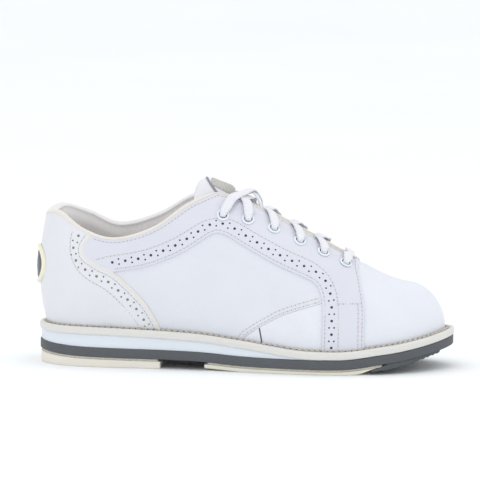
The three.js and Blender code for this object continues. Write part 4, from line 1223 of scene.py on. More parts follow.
def off_eyelets(rings, centre):
    """Whether a perforation stays clear of the eyelet holes."""
    here = surface(np.array([centre[0]]), np.array([centre[1]]))
    return np.linalg.norm(rings - here, axis=1).min() > EYELET_CLEARANCE


def build_saddle():
    parts = []
    for side in ("lateral", "medial"):
        loop, seam = saddle_loop(side)
        rings = surface(EYELETS[side][:, 0], EYELETS[side][:, 1])
        holes = [h for h in band_holes(SADDLE_LINE, BAND_MIDDLE, side, 0, 2) if off_eyelets(rings, h[0])]
        holes += [(tuple(c), EYELET_HOLE, HOLE_SIDES) for c in EYELETS[side]]
        parts.append((loop, seam, holes))
    panel("saddle_leather", parts, skin(OVERLAY_TOP - 0.1), 0.05, SADDLE_WHITE, weld=0.02,
          replaced=["saddle_lateral", "saddle_medial"], slot="saddle_leather")
    for side in ("lateral", "medial"):
        stitch_line(offset_curve(SADDLE_LINE, 1.7), side, OVERLAY_TOP - 0.1, "saddle")
        stitch_line(clear_of_foxing(blur(offset_curve(LONG_SADDLE_LINE, 10.6), 5)), side, OVERLAY_TOP - 0.1,
                    "saddle")
        stitch_line(offset_curve(FRONT_LINE, 1.6), side, OVERLAY_TOP - 0.1, "saddle")
        low = FRONT_LINE[FRONT_LINE[:, 1] < SEAM_HEIGHT]
        stitch_line(offset_curve(low, 4.2), side, OVERLAY_TOP - 0.1, "saddle")
        seam = np.stack([np.linspace(60.5, 78.5, 30), np.full(30, SEAM_HEIGHT)], 1)
        stitch_line(seam, side, OVERLAY_TOP - 0.1, "saddle")
        for shift in (1.4, 3.8):
            curve = offset_curve(VAMP_LINE, shift)
            stitch_line(curve[curve[:, 0] < 51], side, 0.25, "quarter")
        edge = EDGE[side]
        start = reach_edge(curves[side]["foxing"][::-1], edge)[1]
        row = step_in(edge[start + 3:], side, 2.6)
        stitch_along(row, OVERLAY_TOP - 0.1, "saddle")


def clear_of_foxing(points):
    """Side-view points that lie ahead of the foxing's edge."""
    line = np.array(FOXING_FRONT[::-1])
    return points[points[:, 0] > np.interp(points[:, 1], line[:, 1], line[:, 0]) + 3.5]


def step_in(path, side, distance):
    """The path moved on the surface, away from the top edge."""
    p = surface(path[:, 0], path[:, 1])
    along = np.gradient(p, axis=0)
    along /= np.linalg.norm(along, axis=1, keepdims=True)
    inward = np.cross(along, normal(path[:, 0], path[:, 1]))
    if side == "medial":
        inward = -inward
    return step_on(path, inward * distance)


def backing_with_shade(name, line, offset, side, material, skip):
    """Strip under the perforations that shows through them: a darker backing cloth whose colour also holds
    painted shade of the holes.
    """
    middle = offset_curve(line, offset)[skip:-2]
    uv, miss = locate(middle, side, SIDE_VIEW)
    good = np.flatnonzero((miss < 0.3) & (uv[:, 1] > 0.02) & (uv[:, 1] < 0.97))
    uv = resample_uv(uv[good[0]:good[-1] + 1], 1.2)
    section = np.array([(-3.2, 0.0), (3.2, 0.0), (3.2, 0.3), (-3.2, 0.3)])
    path = lifted(uv, 0.32)
    sweep(name, path, normal(uv[:, 0], uv[:, 1]), section, material, smooth_angle=30)


def build_lining():
    left, right = EDGE["lateral"], EDGE["medial"]
    half = np.linspace(FRONT, TOE, 70)
    seam = np.concatenate([half, COUNT - half[::-1][1:]])
    seam = np.stack([seam, np.ones(len(seam))], 1)
    side_seam = np.linspace(0, 1, 60)
    at_start = np.stack([np.zeros(60), side_seam], 1)
    at_end = np.stack([np.full(60, float(COUNT)), side_seam], 1)
    loop, marks = joined([(border(0, COUNT, 0), False), (at_end, True), (right, False), (seam[::-1], True),
                          (left[::-1], False), (at_start[::-1], True)])
    holes = [(tuple(c), 3.3, 24) for side in ("lateral", "medial") for c in EYELETS[side]]

    def inner(uv):
        v = np.mod(uv[:, 0], COUNT)
        v = np.where(v > TOE, COUNT - v, v)
        collar = smoothstep((5.4 - v) / 1.2)
        p = surface(uv[:, 0], uv[:, 1])
        below = top_at(uv[:, 0])[:, 2] - p[:, 2]
        puff = smoothstep(below / 7) * smoothstep((30 - below) / 18)
        return LINING_INNER - 2.6 * puff * collar - 0.3 * relief(uv)
    panel("lining_cloth", [(loop, marks, holes)], LINING_OUTER, inner, LINING_CLOTH, weld=0.02,
          replaced=["upper_lining", "collar_padding"], slot="lining", spacing=2.8)


def build_binding():
    """Cream tape folded over the collar and down both edges of the throat."""
    left = resample_uv(EDGE["lateral"], 1.3)
    right = resample_uv(EDGE["medial"], 1.3)
    uv = np.vstack([right[::-1] - [COUNT, 0], left[1:]])
    p = surface(uv[:, 0], uv[:, 1])
    along = np.gradient(p, axis=0)
    along /= np.linalg.norm(along, axis=1, keepdims=True)
    n = normal(uv[:, 0], uv[:, 1])
    up = np.cross(n, along)
    up /= np.linalg.norm(up, axis=1, keepdims=True)
    up = -up if (up[len(up) // 2] @ np.array([0, 0, 1])) < 0 else up
    middle = (OVERLAY_TOP + LINING_INNER) / 2
    half = (OVERLAY_TOP - LINING_INNER) / 2 + 0.2
    a = np.linspace(0, math.pi, 13)
    outer = np.stack([np.cos(a) * half, 0.1 + np.sin(a) * 1.3], 1)
    section = np.vstack([[(half, -0.7)], outer, [(-half, -0.9), (-half + 0.7, -0.9)],
                         np.stack([-np.cos(a[2:-2]) * (half - 0.8), 0.02 + np.sin(a[2:-2]) * 0.5], 1),
                         [(half - 0.7, -0.7)]])
    vertices = (p[:, None] + n[:, None] * (middle + section[None, :, :1])
                + up[:, None] * section[None, :, 1:])
    m = len(section)
    count = len(p)
    faces = []
    for i in range(count - 1):
        for j in range(m):
            k = (j + 1) % m
            faces.append((i * m + j, i * m + k, (i + 1) * m + k, (i + 1) * m + j))
    faces.append(tuple(range(m)))
    faces.append(tuple((count - 1) * m + j for j in reversed(range(m))))
    is_inner = [j for j in range(m) if 5 <= j <= 14]
    marks = [int(j in is_inner) for _ in range(count - 1) for j in range(m)] + [0, 0]
    obj = finish_mesh("collar_tape", vertices.reshape(-1, 3), faces, [BINDING, COLLAR_CLOTH],
                      replaced=["collar_binding"], slot="binding_tape", smooth_angle=50,
                      face_materials=marks)
    fix_normals(obj)


def fix_normals(obj):
    bm = bmesh.new()
    bm.from_mesh(obj.data)
    bmesh.ops.recalc_face_normals(bm, faces=bm.faces)
    bm.to_mesh(obj.data)
    bm.free()


def build_eyelets():
    profile = [(2.6, -4.8), (3.1, -4.8), (3.1, 1.55), (4.2, 1.6), (4.36, 1.8), (4.3, 2.1), (4.0, 2.36),
               (3.6, 2.48), (3.2, 2.42), (2.85, 2.2), (2.66, 1.8)]
    for side, label in (("lateral", "outer"), ("medial", "inner")):
        uv = EYELETS[side]
        middle = surface(uv[:, 0], uv[:, 1])
        axes = normal(uv[:, 0], uv[:, 1])
        for k in range(len(uv)):
            lathe(f"eyelet_ring_{label}_{k + 1}", profile, middle[k], axes[k], 48, ENAMEL,
                  replaced=[f"eyelet_{label}_{k + 1}"], slot="eyelet_enamel")


def lathe(name, profile, middle, axis, count, material, **more):
    e1 = np.cross(axis, [0.3, 1, 0.2])
    e1 /= np.linalg.norm(e1)
    e2 = np.cross(axis, e1)
    a = 2 * np.pi * np.arange(count) / count
    ring = np.cos(a)[:, None] * e1 + np.sin(a)[:, None] * e2
    vertices = np.vstack([middle + ring * r + axis * h for r, h in profile])
    n = len(profile)
    faces = []
    for i in range(n):
        k = (i + 1) % n
        for j in range(count):
            m = (j + 1) % count
            faces.append((i * count + j, i * count + m, k * count + m, k * count + j))
    obj = finish_mesh(name, vertices, faces, material, smooth_angle=50, **more)
    fix_normals(obj)
    return obj


def build_badge():
    """Oval badge at the back of the heel with a plain ring and three round marks."""
    a = 2 * np.pi * np.arange(72) / 72
    middle, half_w, half_h = 66.0, 13.0, 10.75

    def oval(grow):
        points = np.stack([np.cos(a) * (half_w + grow), middle + np.sin(a) * (half_h + grow)], 1)
        return locate(points, "heel", HEEL_VIEW)[0]

    def share(uv):
        p = surface(uv[:, 0], uv[:, 1])
        return np.sqrt((p[:, 1] / half_w) ** 2 + ((p[:, 2] - middle) / half_h) ** 2)

    def dome(uv):
        s = share(uv)
        ring = np.exp(-((s - 0.72) / 0.05) ** 2)
        return 2.6 + 0.7 * (1 - np.clip(s, 0, 1) ** 2) + 0.3 * ring
    panel("heel_badge_plate", [(oval(0.0), None, [])], dome, 1.9, BADGE_DARK, edge=0.3, spacing=0.7,
          replaced=["heel_badge"], slot="badge_dark")
    rim_hole = oval(0.2)
    outer = oval(2.4)
    build_rim(rim_hole, outer)
    for k, (y, z) in enumerate(((-2.6, 68.6), (2.6, 68.6), (0.0, 63.8))):
        uv, _ = locate([(y, z)], "heel", HEEL_VIEW)
        ring_points = hole_ring(uv[0], 1.35, 24)
        panel(f"badge_mark_{k + 1}", [(ring_points, None, [])], lambda q: dome(q) + 0.12, 2.2, BADGE_LIGHT,
              edge=0.15, spacing=0.6)


def build_rim(inner, outer):
    n = len(inner)
    levels = [(0.0, 1.7), (0.0, 3.3), (0.12, 3.6), (0.4, 3.75), (0.7, 3.55), (0.9, 2.9), (1.0, 1.65)]
    rows = [lifted(inner * (1 - s) + outer * s, np.full(n, h)) for s, h in levels]
    vertices = np.vstack(rows)
    m = len(levels)
    faces = []
    for i in range(m):
        k = (i + 1) % m
        for j in range(n):
            q = (j + 1) % n
            faces.append((i * n + j, i * n + q, k * n + q, k * n + j))
    obj = finish_mesh("heel_badge_frame", vertices, faces, BADGE_CREAM, replaced=["heel_badge_rim"],
                      slot="badge_rim", smooth_angle=60)
    fix_normals(obj)


# ---------------------------------------------------------------- tongue
TONGUE_SWELL = [(-38, 0.5), (-36, 3.5), (-33, 8), (-29, 12.2), (-25, 14.6), (-20, 16.8), (-15, 18.6),
                (-10, 18.4),
                (-6, 12.5), (-1, 5), (6, 2), (11, 0.5), (18, 0)]
SWELL_REACH = [(-38, 10.5), (-20, 10.5), (-8, 9.4), (0, 8.2), (18, 8.2)]
TONGUE_LINE = [(-38, 118.2), (-27, 112.5), (-14, 103), (5, 95.6), (24, 88.6), (61, 67), (76, 61.3)]
TONGUE_REAR, TONGUE_ROOT = -36.5, 76.0
TONGUE_HALF = (18.5, 17.0)
TONGUE_CURVE = 17.0


def tongue_half(x):
    share = (x - TONGUE_REAR) / (TONGUE_ROOT - TONGUE_REAR)
    full = TONGUE_HALF[0] + (TONGUE_HALF[1] - TONGUE_HALF[0]) * share
    tip = np.sqrt(np.clip(share / 0.12, 0, 1))
    return full * (0.6 + 0.4 * tip)


def tongue_skins(x, s):
    """Upper and lower skin heights of the tongue at x and at s from -1 to 1 across it."""
    y = s * tongue_half(x)
    reach = height_at(SWELL_REACH, x)
    share = np.minimum(np.abs(y) / reach, 1)
    swell = height_at(TONGUE_SWELL, x) * (1 - share * share) ** 2
    base = height_at(TONGUE_LINE, x) - y * y / TONGUE_CURVE
    top = base + swell
    bottom = base - 6.5
    middle = (top * 0.35 + bottom * 0.65)
    ends = np.clip((x - TONGUE_REAR) / 4.0, 0, 1)
    full = np.sqrt(np.clip(1 - np.abs(s) ** 5, 0, 1)) * np.sqrt(np.clip(1 - (1 - ends) ** 2.4, 0, 1))
    full = 0.12 + 0.88 * full
    return y, middle + (top - middle) * full, middle + (bottom - middle) * full, middle


def build_tongue():
    bend = np.linspace(0, 1, 90)
    xs = TONGUE_REAR + (TONGUE_ROOT - TONGUE_REAR) * (0.35 * bend + 0.65 * bend**1.7)
    ss = np.sin(np.linspace(-math.pi / 2, math.pi / 2, 61))
    x, s = np.meshgrid(xs, ss, indexing="ij")
    y, top, bottom, middle = tongue_skins(x, s)
    quilt = 0.18 * np.sin(0.5 * x) * np.sin(0.4 * y) * (1 - np.abs(s) ** 3)

    def layer(z):
        return np.stack([x, y, z], -1)
    shell_low = np.maximum(top - 1.3, middle + 0.05)
    lining_high = np.minimum(bottom + 1.2, middle - 0.05)
    shell = grid_solid("tongue_skin", layer(top + quilt), layer(shell_low), TONGUE_WHITE, body="tongue",
                       replaced=["tongue_shell"], slot="tongue_leather", smooth_angle=60)
    fix_normals(shell)
    pad = grid_solid("tongue_foam", layer(shell_low - 0.03), layer(lining_high + 0.03), FOAM, body="tongue",
                     replaced=["tongue_padding"], slot="foam", smooth_angle=60)
    fix_normals(pad)
    cloth_side = grid_solid("tongue_cloth", layer(lining_high), layer(bottom), LINING_CLOTH, body="tongue",
                            replaced=["tongue_lining"], slot="lining", smooth_angle=60)
    fix_normals(cloth_side)
    build_tongue_label()
    runs = []
    for sign in (-1, 1):
        px = np.linspace(-21, 70, 120)
        points, normals = tongue_points(px, sign * (tongue_half(px) - 3.2))
        runs.append((points, normals, 2.8, 1.8, 0.34))
    thread_mesh("tongue_stitching", runs, [THREAD, NEEDLE_HOLE_SHADE], body="tongue")


def tongue_points(x, y):
    x = np.asarray(x, float)
    y = np.asarray(y, float)

    def top_of(a, b):
        return tongue_skins(a, b / tongue_half(a))[1]
    z = top_of(x, y)
    dx = (top_of(x + 0.3, y) - top_of(x - 0.3, y)) / 0.6
    dy = (top_of(x, y + 0.3) - top_of(x, y - 0.3)) / 0.6
    n = np.stack([-dx, -dy, np.ones_like(dx)], -1)
    n /= np.linalg.norm(n, axis=-1, keepdims=True)
    return np.stack([x, y, z], -1), n


def tongue_patch(name, xs, ys, lift_low, lift_high, material, edge=0.35):
    x, y = np.meshgrid(xs, ys, indexing="ij")
    p, n = tongue_points(x, y)
    i = np.linspace(-1, 1, len(xs))[:, None]
    j = np.linspace(-1, 1, len(ys))[None]
    near = np.minimum(1 - np.abs(i), 1 - np.abs(j)) * 12
    rise = lift_high - edge * (1 - np.sqrt(np.clip(1 - (1 - np.clip(near, 0, 1)) ** 2, 0, 1)))
    obj = grid_solid(name, p + n * rise[..., None], p + n * lift_low, material, body="tongue",
                     smooth_angle=50)
    fix_normals(obj)
    return obj


def build_tongue_label():
    """Woven patch on the swell of the tongue, inside a plain ring."""
    tongue_patch("tongue_label", np.linspace(-25, -9.2, 50), np.linspace(-3.7, 3.7, 40), -0.6, 0.7,
                 LABEL_CLOTH)
    a = 2 * np.pi * np.arange(48) / 48
    p, n = tongue_points(-17.6 + 10.6 * np.cos(a), 5.2 * np.sin(a))
    vertices, faces, _ = tube_arrays(p + n * 0.25, n, ellipse(1.6, 0.9, 10), closed=True)
    obj = finish_mesh("tongue_ring", vertices, faces, RING_GREY, body="tongue")
    fix_normals(obj)


# ---------------------------------------------------------------- lace
LACE_WIDTH, LACE_THICKNESS = 6.8, 1.3
EYELET_CREST = 2.6
LACE_OVER = EYELET_CREST + GAP + LACE_THICKNESS / 2
LACE_UNDER = LINING_INNER - GAP - LACE_THICKNESS


def instep_at(x, y, depth):
    side = "lateral" if y < 0 else "medial"
    uv, _ = locate([(x, y)], side, PLAN_VIEW)
    n = normal(uv[:, 0], uv[:, 1])[0]
    return surface(uv[:, 0], uv[:, 1])[0] + n * depth, n


def on_instep(x, y, depth, width=LACE_WIDTH, thickness=LACE_THICKNESS):
    p, n = instep_at(x, y, depth)
    return (p, n, width, thickness)


def in_hole(k, sign, face):
    side = "lateral" if sign < 0 else "medial"
    uv = EYELETS[side][k:k + 1]
    p = surface(uv[:, 0], uv[:, 1])[0]
    n = normal(uv[:, 0], uv[:, 1])[0]
    towards = np.array([0.0, -sign * face, 0.0])
    return [(p + n * d, towards, 4.4, 2.5) for d in (LINING_INNER - 2, -1.5, EYELET_CREST + 0.3)]


UP = np.array([0.3, 0, 1]) / math.hypot(0.3, 1)


def crossing(k, sign, lower):
    start, end = EYELET_X[k], EYELET_X[k - 1]
    run = end - start
    rise = 1.15 if sign < 0 else -1.15
    if lower:
        path = [on_instep(start + 0.1 * run, sign * 15.5, LACE_UNDER - 0.8),
                on_instep(start + 0.25 * run, sign * 9, LACE_UNDER - 0.4)]
    else:
        path = [on_instep(start + 0.03 * run, sign * 17, LACE_OVER + 0.5),
                on_instep(start + 0.12 * run, sign * 12, LACE_OVER - 0.3),
                on_instep(start + 0.25 * run, sign * 8, LACE_OVER - 0.6)]
    if k == 1:
        path.append((np.array([3, 0, 111.7 + 0.8 * rise]), UP, 5.6, LACE_THICKNESS))
        path.append(on_instep(1.5, -sign * 6.2, LACE_UNDER + 0.8, 5.4))
        path.append(on_instep(-1.5, -sign * 10.5, LACE_UNDER - 0.9))
        path.append(on_instep(-8.5, -sign * 15, LACE_UNDER - 1.7))
        return path
    path.append(on_instep(start + 0.5 * run, 0, -1.6 + (-1.2 if lower else 0) + rise, 5.6))
    path.append(on_instep(start + 0.77 * run, -sign * 8.3, LACE_UNDER - 0.2))
    path.append(on_instep(start + 0.88 * run, -sign * 14, LACE_UNDER - 0.5))
    return path


def lace_tail(sign):
    x = EYELET_X[0]
    rise = 1.6 if sign < 0 else 0

    def place(px, py, pz, width=LACE_WIDTH):
        return (np.array([px, py, pz], float), UP, width, LACE_THICKNESS)
    return [on_instep(x + 2, sign * 17, LACE_OVER + 0.6), on_instep(x + 6, sign * 12, LACE_OVER + 1.5),
            place(-2.5, sign * 6, 115.5 + rise), place(3.6, 0, 116.8 + rise, 5.6),
            place(8.2, -sign * 3.4, 110 + rise, 4.2), on_instep(11.2, -sign * 5.4, -3.6, 4.0),
            on_instep(13, -sign * 8.6, LACE_UNDER - 0.5, 4.4),
            on_instep(12.4, -sign * 13, LACE_UNDER - 0.5), on_instep(12.4, -sign * 17, LACE_UNDER - 0.6)]


def lace_strand(first):
    """One strand. The ribbon's upper face changes each time it passes a hole."""
    path = []
    sign = first
    face = -1
    last = len(EYELET_X) - 1
    for k in range(last, 0, -1):
        if k == last:
            path += in_hole(k, sign, face)[::-1]
        path += [(p, n * face, w, h) for p, n, w, h in crossing(k, sign, k == last)]
        sign = -sign
        path += in_hole(k - 1, sign, face)
        face = -face
    return path + [(p, n * face, w, h) for p, n, w, h in lace_tail(sign)]


def ribbon(name, path, steps, material, **more):
    points = np.array([p[0] for p in path])
    normals = np.array([p[1] for p in path])
    sizes = np.array([p[2:] for p in path], float)
    last = len(path) - 1
    u = np.minimum(np.arange(last * steps + 1) / steps, last - 1e-6)
    middle = spline(points, u, False)
    ahead = spline(points, np.minimum(u + 0.05, last - 1e-6), False)
    along = ahead - spline(points, np.maximum(u - 0.05, 0), False)
    along /= np.linalg.norm(along, axis=1, keepdims=True)
    flat = spline(normals, u, False)
    across = np.cross(along, flat)
    across /= np.linalg.norm(across, axis=1, keepdims=True)
    out = np.cross(across, along)
    i = np.clip(np.floor(u).astype(int), 0, last - 1)
    share = (u - i)[:, None]
    size = sizes[i] * (1 - share) + sizes[i + 1] * share
    m = 20
    a = 2 * np.pi * np.arange(m) / m
    cx = np.sign(np.cos(a)) * np.abs(np.cos(a)) ** 0.45
    cy = np.sign(np.sin(a)) * np.abs(np.sin(a)) ** 0.75
    arc = np.concatenate([[0], np.cumsum(np.linalg.norm(np.diff(middle, axis=0), axis=1))])
    rounded = np.clip(1 - (size[:, :1] - 3.2) / 3.6, 0, 1)
    hump = (1 - 0.16 * np.cos(a)[None] ** 2 * (1 - rounded))
    wobble = 1 + 0.03 * np.sin(arc * 1.9)[:, None]
    w = (size[:, :1] / 2) * wobble * cx[None]
    h = (size[:, 1:] / 2) * cy[None] * hump
    vertices = middle[:, None] + across[:, None] * w[..., None] + out[:, None] * h[..., None]
    n = len(middle)
    faces = []
    for r in range(n - 1):
        for j in range(m):
            q = (j + 1) % m
            faces.append((r * m + j, (r + 1) * m + j, (r + 1) * m + q, r * m + q))
    faces.append(tuple(range(m)))
    faces.append(tuple((n - 1) * m + j for j in reversed(range(m))))
    pattern = np.stack([np.repeat(arc, m), np.tile(np.arange(m) / m, n)], 1)
    obj = finish_mesh(name, vertices.reshape(-1, 3), faces, material, uvs=pattern, smooth_angle=70, **more)
    fix_normals(obj)
    return obj


def build_lace():
    last = len(EYELET_X) - 1
    bar = [on_instep(EYELET_X[last] + 0.5, y, LACE_OVER) for y in (-16.5, -10, 0, 10, 16.5)]
    path = lace_strand(-1)[::-1] + bar + lace_strand(1)
    ribbon("shoelace_ribbon", path, 12, LACE_WHITE, replaced=["shoelace"], slot="lace_white")
    for label, sign in (("outer", 1), ("inner", -1)):
        ends = [on_instep(12.4, -sign * y, LACE_UNDER - 0.8, 3.4, 1.8) for y in (17.6, 22.1, 26.6)]
        ribbon(f"aglet_tip_{label}", ends, 8, AGLET_FILM, replaced=[f"aglet_{label}"], slot="aglet_clear")


# ---------------------------------------------------------------- sole
def plan_loop(inset, x_from=-1e3, x_to=1e3, spacing=1.2):
    """Counter-clockwise loop of the sole outline, with straight cuts across at the x limits."""
    u = np.arange(0, COUNT, 0.02)
    xy = outline(u, inset)
    xy = xy if area(xy) > 0 else xy[::-1]
    if x_from > xy[:, 0].min() or x_to < xy[:, 0].max():
        xy = clip_half(xy, x_from, 1)
        xy = clip_half(xy, x_to, -1)
    return resample(xy, spacing, closed=True)


def clip_half(xy, limit, sign):
    """Polygon cut at x = limit; sign 1 keeps what is in front."""
    out = []
    for k in range(len(xy)):
        a, b = xy[k], xy[(k + 1) % len(xy)]
        ka, kb = sign * (a[0] - limit) >= 0, sign * (b[0] - limit) >= 0
        if ka:
            out.append(a)
        if ka != kb:
            s = (limit - a[0]) / (b[0] - a[0])
            out.append(a + s * (b - a))
    return np.array(out)


def inset_plan(loop, distance):
    d = np.roll(loop, -1, 0) - np.roll(loop, 1, 0)
    d /= np.maximum(np.linalg.norm(d, axis=1, keepdims=True), 1e-9)
    return loop + np.stack([-d[:, 1], d[:, 0]], 1) * np.asarray(distance).reshape(-1, 1)


def slab(name, loop, bottom, top, material, round_low=0.6, round_high=0.6, spacing=4.0, holes=(), **more):
    """Sole layer over a plan loop between two heights given as functions of x and y."""
    def heights(xy, f):
        return f(xy[:, 0], xy[:, 1])
    n = len(loop)
    thick = np.maximum(heights(loop, top) - heights(loop, bottom), 0.02)
    r_low = np.minimum(round_low, 0.45 * thick)
    r_high = np.minimum(round_high, 0.45 * thick)
    rows = []
    for r, level, sign in ((r_low, bottom, 1), (r_high, top, -1)):
        angles = (90, 60, 30, 0) if sign > 0 else (0, 30, 60, 90)
        for angle in angles:
            a = math.radians(angle)
            xy = inset_plan(loop, r * (1 - math.cos(a)))
            z = heights(xy, level) + sign * r * (1 - math.sin(a))
            rows.append(with_z(xy, z))
    vertices = np.vstack(rows)
    faces = []
    for i in range(len(rows) - 1):
        for j in range(n):
            q = (j + 1) % n
            faces.append((i * n + j, i * n + q, (i + 1) * n + q, (i + 1) * n + j))
    low, high = loop.min(0), loop.max(0)
    step_x, step_y = spacing if isinstance(spacing, tuple) else (spacing, spacing)
    gx, gy = np.meshgrid(np.arange(low[0], high[0], step_x), np.arange(low[1], high[1], step_y),
                         indexing="ij")
    grid = np.stack([gx.ravel(), gy.ravel()], 1)
    all_vertices = [vertices]
    count = len(vertices)
    for first, level, flip in ((0, bottom, True), (len(rows) - 1, top, False)):
        ring = rows[first][:, :2]
        points, triangles = triangulate(ring, [], grid, 0.5 * min(step_x, step_y))
        inner = points[n:]
        all_vertices.append(with_z(inner, heights(inner, level)))

        def index(k):
            return first * n + k if k < n else count + k - n
        for t in triangles:
            ids = tuple(index(k) for k in t)
            faces.append(ids[::-1] if flip else ids)
        count += len(inner)
    return finish_mesh(name, np.vstack(all_vertices), faces, material, smooth_angle=45, **more)


def tread(x, y):
    """Low ribs across the toe rubber."""
    rib = 0.5 + 0.5 * np.cos(2 * np.pi * x / 3.2)
    return 0.55 * smoothstep(rib * 1.6 - 0.3)


BEVEL = math.tan(math.radians(20))
SOLE_PAD_FRONT = 96.0


def hook_top(x):
    return band_bottom(x) - GAP


def hook_bottom(x):
    return hook_top(x) - 1.2


def ground(x):
    return np.maximum(hook_bottom(x) - GAP - 2.4, 0)


TIP_Z = float(band_bottom(SOLE_PAD_FRONT) - GAP)


def bevel_line(x):
    return TIP_Z + (x - SOLE_PAD_FRONT) * BEVEL


def build_sole():
    slab("outsole_band_rubber", plan_loop(0.5), lambda x, y: band_bottom(x), lambda x, y: band_top(x),
         RUBBER,
         0.7, 0.5, replaced=["outsole_band"], slot="dark_rubber")
    slab("midsole_wedge_foam", plan_loop(1.3, x_to=54), lambda x, y: band_top(x) + 0.05,
         lambda x, y: np.maximum(wedge_top(x) + 0.2, band_top(x) + 0.12), WEDGE_FOAM, 0.3, 0.05,
         replaced=["midsole_wedge"], slot="wedge_foam")
    build_welt()
    pad_loop = plan_loop(1.2, -26, SOLE_PAD_FRONT + 3.5)

    def pad_floor(x, y):
        return np.minimum(np.maximum(ground(x), bevel_line(x) + 0.3), hook_bottom(x) - GAP + 0.2)
    slab("sliding_sole_pad", pad_loop, pad_floor,
         lambda x, y: np.maximum(hook_bottom(x) - 0.1, pad_floor(x, y) + 0.25), SLIDE_SUEDE, 0.7, 0.3,
         body="sliding_sole", replaced=["sole_pad"], slot="slide_pad")
    slab("sliding_sole_hooks", plan_loop(1.9, -24, SOLE_PAD_FRONT - 3), lambda x, y: hook_bottom(x),
         lambda x, y: hook_top(x) + 0.1, HOOK_SHEET, 0.2, 0.2, body="sliding_sole",
         replaced=["sole_pad_hook"],
         slot="hook_sheet")
    toe_loop = plan_loop(1.0, SOLE_PAD_FRONT - 10.2, 131)

    def toe_low(x, y):
        return band_bottom(x) - GAP - height_at(TOE_PAD, x) + tread(x, y)

    def toe_high(x, y):
        return np.maximum(np.minimum(band_bottom(x) - 0.05, bevel_line(x) - 0.1), toe_low(x, y) + 0.1)
    slab("toe_traction_rubber", toe_loop, toe_low, toe_high, TOE_RUBBER, 0.3, 0.2, spacing=(0.8, 5.0),
         replaced=["toe_traction_pad"], slot="dark_rubber")
    slab("braking_heel_pad", plan_loop(1.1, x_to=-56), lambda x, y: 0 * x, lambda x, y: hook_bottom(x) - 0.1,
         HEEL_RUBBER, 0.8, 0.3, body="braking_heel", replaced=["heel_pad"], slot="heel_rubber")
    slab("braking_heel_hooks", plan_loop(1.7, x_to=-57.5), lambda x, y: hook_bottom(x), lambda x,
         y: hook_top(x) + 0.1,
         HOOK_SHEET, 0.2, 0.2, body="braking_heel", replaced=["heel_pad_hook"], slot="hook_sheet")
    inset = WELT_WIDTH - LINING_INNER + 2 * GAP
    slab("insole_board_fibre", plan_loop(inset), lambda x, y: welt_top(x) + GAP, lambda x,
         y: welt_top(x) + 2.6,
         BOARD, 0.3, 0.3, replaced=["insole_board"], slot="insole_fibre")

    def bed_top(x, y):
        cup = smoothstep((np.abs(y) - 14) / 16) * smoothstep((10 - x) / 60)
        return welt_top(x) + GAP + 2.4 + GAP + 4.0 - 0.7 * (1 - cup) * smoothstep((0 - x) / 60)
    slab("footbed_sheet", plan_loop(inset + 0.2), lambda x, y: welt_top(x) + 2.75, bed_top, FOOTBED_CLOTH,
         0.4, 1.1, replaced=["footbed"], slot="footbed_foam")


def build_welt():
    """Cream welt with a raised outer lip and a sewn channel."""
    u = np.arange(0, COUNT, 0.05)
    lap = WELT_WIDTH + WELT_LAP
    profile = [(lap, "b", 0.0), (0.6, "b", 0.0), (0.15, "b", 0.3), (0.0, "b", 0.9), (0.0, "t", -1.9),
               (0.12, "t", -0.9), (0.5, "t", -0.25), (1.2, "t", 0.12), (2.2, "t", 0.1), (2.9, "t", -0.35),
               (3.4, "t", -0.75), (4.5, "t", -0.75), (5.2, "t", -0.3), (6.0, "t", 0.0), (lap, "t", 0.0)]
    rings = []
    for inset, base, dz in profile:
        xy = outline(u, inset)
        z = (wedge_top(xy[:, 0]) + GAP if base == "b" else welt_top(xy[:, 0])) + dz
        rings.append(with_z(xy, z))
    n, m = len(u), len(profile)
    vertices = np.vstack(rings)
    faces = []
    for i in range(m):
        k = (i + 1) % m
        for j in range(n):
            q = (j + 1) % n
            faces.append((i * n + j, i * n + q, k * n + q, k * n + j))
    obj = finish_mesh("welt_strip", vertices, faces, WELT_CREAM, replaced=["welt"], slot="welt_cream",
                      smooth_angle=50)
    fix_normals(obj)
    xy = outline(np.append(u, 0), 4.4)
    points = with_z(xy, welt_top(xy[:, 0]) + 0.35)
    ups = np.tile([0, 0, 1.0], (len(points), 1))
    thread_mesh("welt_stitching", [(points, ups, 4.1, 3.5, 1.05)], [WELT_THREAD, NEEDLE_HOLE_SHADE], hole_shade=False)


# ---------------------------------------------------------------- build
build_sole()
build_vamp()
build_quarters()
build_foxing()
build_saddle()
build_lining()
build_binding()
build_eyelets()
build_badge()
build_tongue()
build_lace()
# Dark strips under the perforation bands; their colour is partly backing cloth, partly painted shade in the
# holes.
for side in ("lateral", "medial"):
    backing_with_shade(f"saddle_backing_and_shade_{side}", LONG_SADDLE_LINE, 6.2, side, DARK_BACKING_AND_SHADE, 9)
    backing_with_shade(f"foxing_backing_and_shade_{side}", FOXING_LINE, -6.2, side, GREY_BACKING_AND_SHADE, 10)
for group in sorted({p[2] for p in stitch_paths}):
    runs = []
    for uv, depth, g, pitch, length, radius in stitch_paths:
        if g == group:
            runs.append((lifted(uv, np.full(len(uv), depth) + relief(uv)), normal(uv[:, 0], uv[:, 1]), pitch,
                         length, radius))
    thread_mesh(f"{group}_stitching", runs, [THREAD, NEEDLE_HOLE_SHADE])

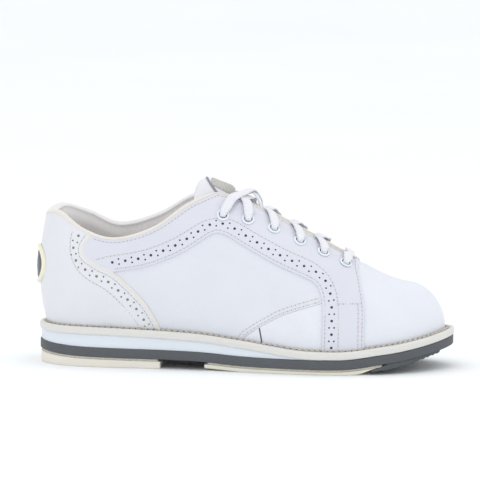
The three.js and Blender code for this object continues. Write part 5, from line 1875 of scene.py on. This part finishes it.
# Hidden frame pieces keep their shape and get a finish.
for node, material in (("sole_filler", CORK), ("steel_shank", STEEL), ("toe_puff", BOARD),
                       ("heel_counter", BOARD)):
    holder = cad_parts[node]
    holder.data.materials.clear()
    holder.data.materials.append(material)
for side in ("lateral", "medial"):
    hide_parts(f"side_tab_{side}")

# ---------------------------------------------------------------- floor, light, view
floor_mat, floor_tree, floor_shader = nodes_of("floor_paper")
floor_at = coordinates(floor_tree)
floor_tree.links.new(ramp(floor_tree, noise(floor_tree, floor_at, 3.0, 2.0), 0.3, 0.7, linear(250, 252, 254),
                          linear(252, 254, 255)), floor_shader.inputs["Base Color"])
floor_shader.inputs["Roughness"].default_value = 0.9
floor_shader.inputs["Specular IOR Level"].default_value = 0.1
floor_mesh = bpy.data.meshes.new("floor")
reach = 12.0
floor_mesh.from_pydata([(-reach, -reach, 0), (reach, -reach, 0), (reach, reach, 0), (-reach, reach, 0)], [],
                       [(0, 1, 2, 3)])
floor_mesh.materials.append(floor_mat)
floor = bpy.data.objects.new("floor", floor_mesh)
scene.collection.objects.link(floor)

world = bpy.data.worlds.new("studio")
world.use_nodes = True
world.node_tree.nodes["Background"].inputs["Color"].default_value = (0.985, 0.992, 1.0, 1)
world.node_tree.nodes["Background"].inputs["Strength"].default_value = 1.0
scene.world = world


def softbox(name, place, aim, width, height, power, colour=(1, 1, 1)):
    data = bpy.data.lights.new(name, "AREA")
    data.shape = "RECTANGLE"
    data.size = width
    data.size_y = height
    data.energy = power
    data.color = colour
    light = bpy.data.objects.new(name, data)
    light.location = place
    light.rotation_euler = (Vector(aim) - Vector(place)).to_track_quat("-Z", "Y").to_euler()
    scene.collection.objects.link(light)


softbox("top_box", (0.1, -0.1, 1.6), (0, 0, 0), 1.6, 1.2, 3.2)
softbox("front_box", (-0.9, -1.6, 0.9), (0, 0, 0.05), 1.0, 1.0, 1.6)
softbox("toe_box", (1.6, -0.9, 0.7), (0, 0, 0.05), 0.9, 0.9, 1.0)
scene.view_settings.view_transform = "Standard"
scene.view_settings.look = "None"
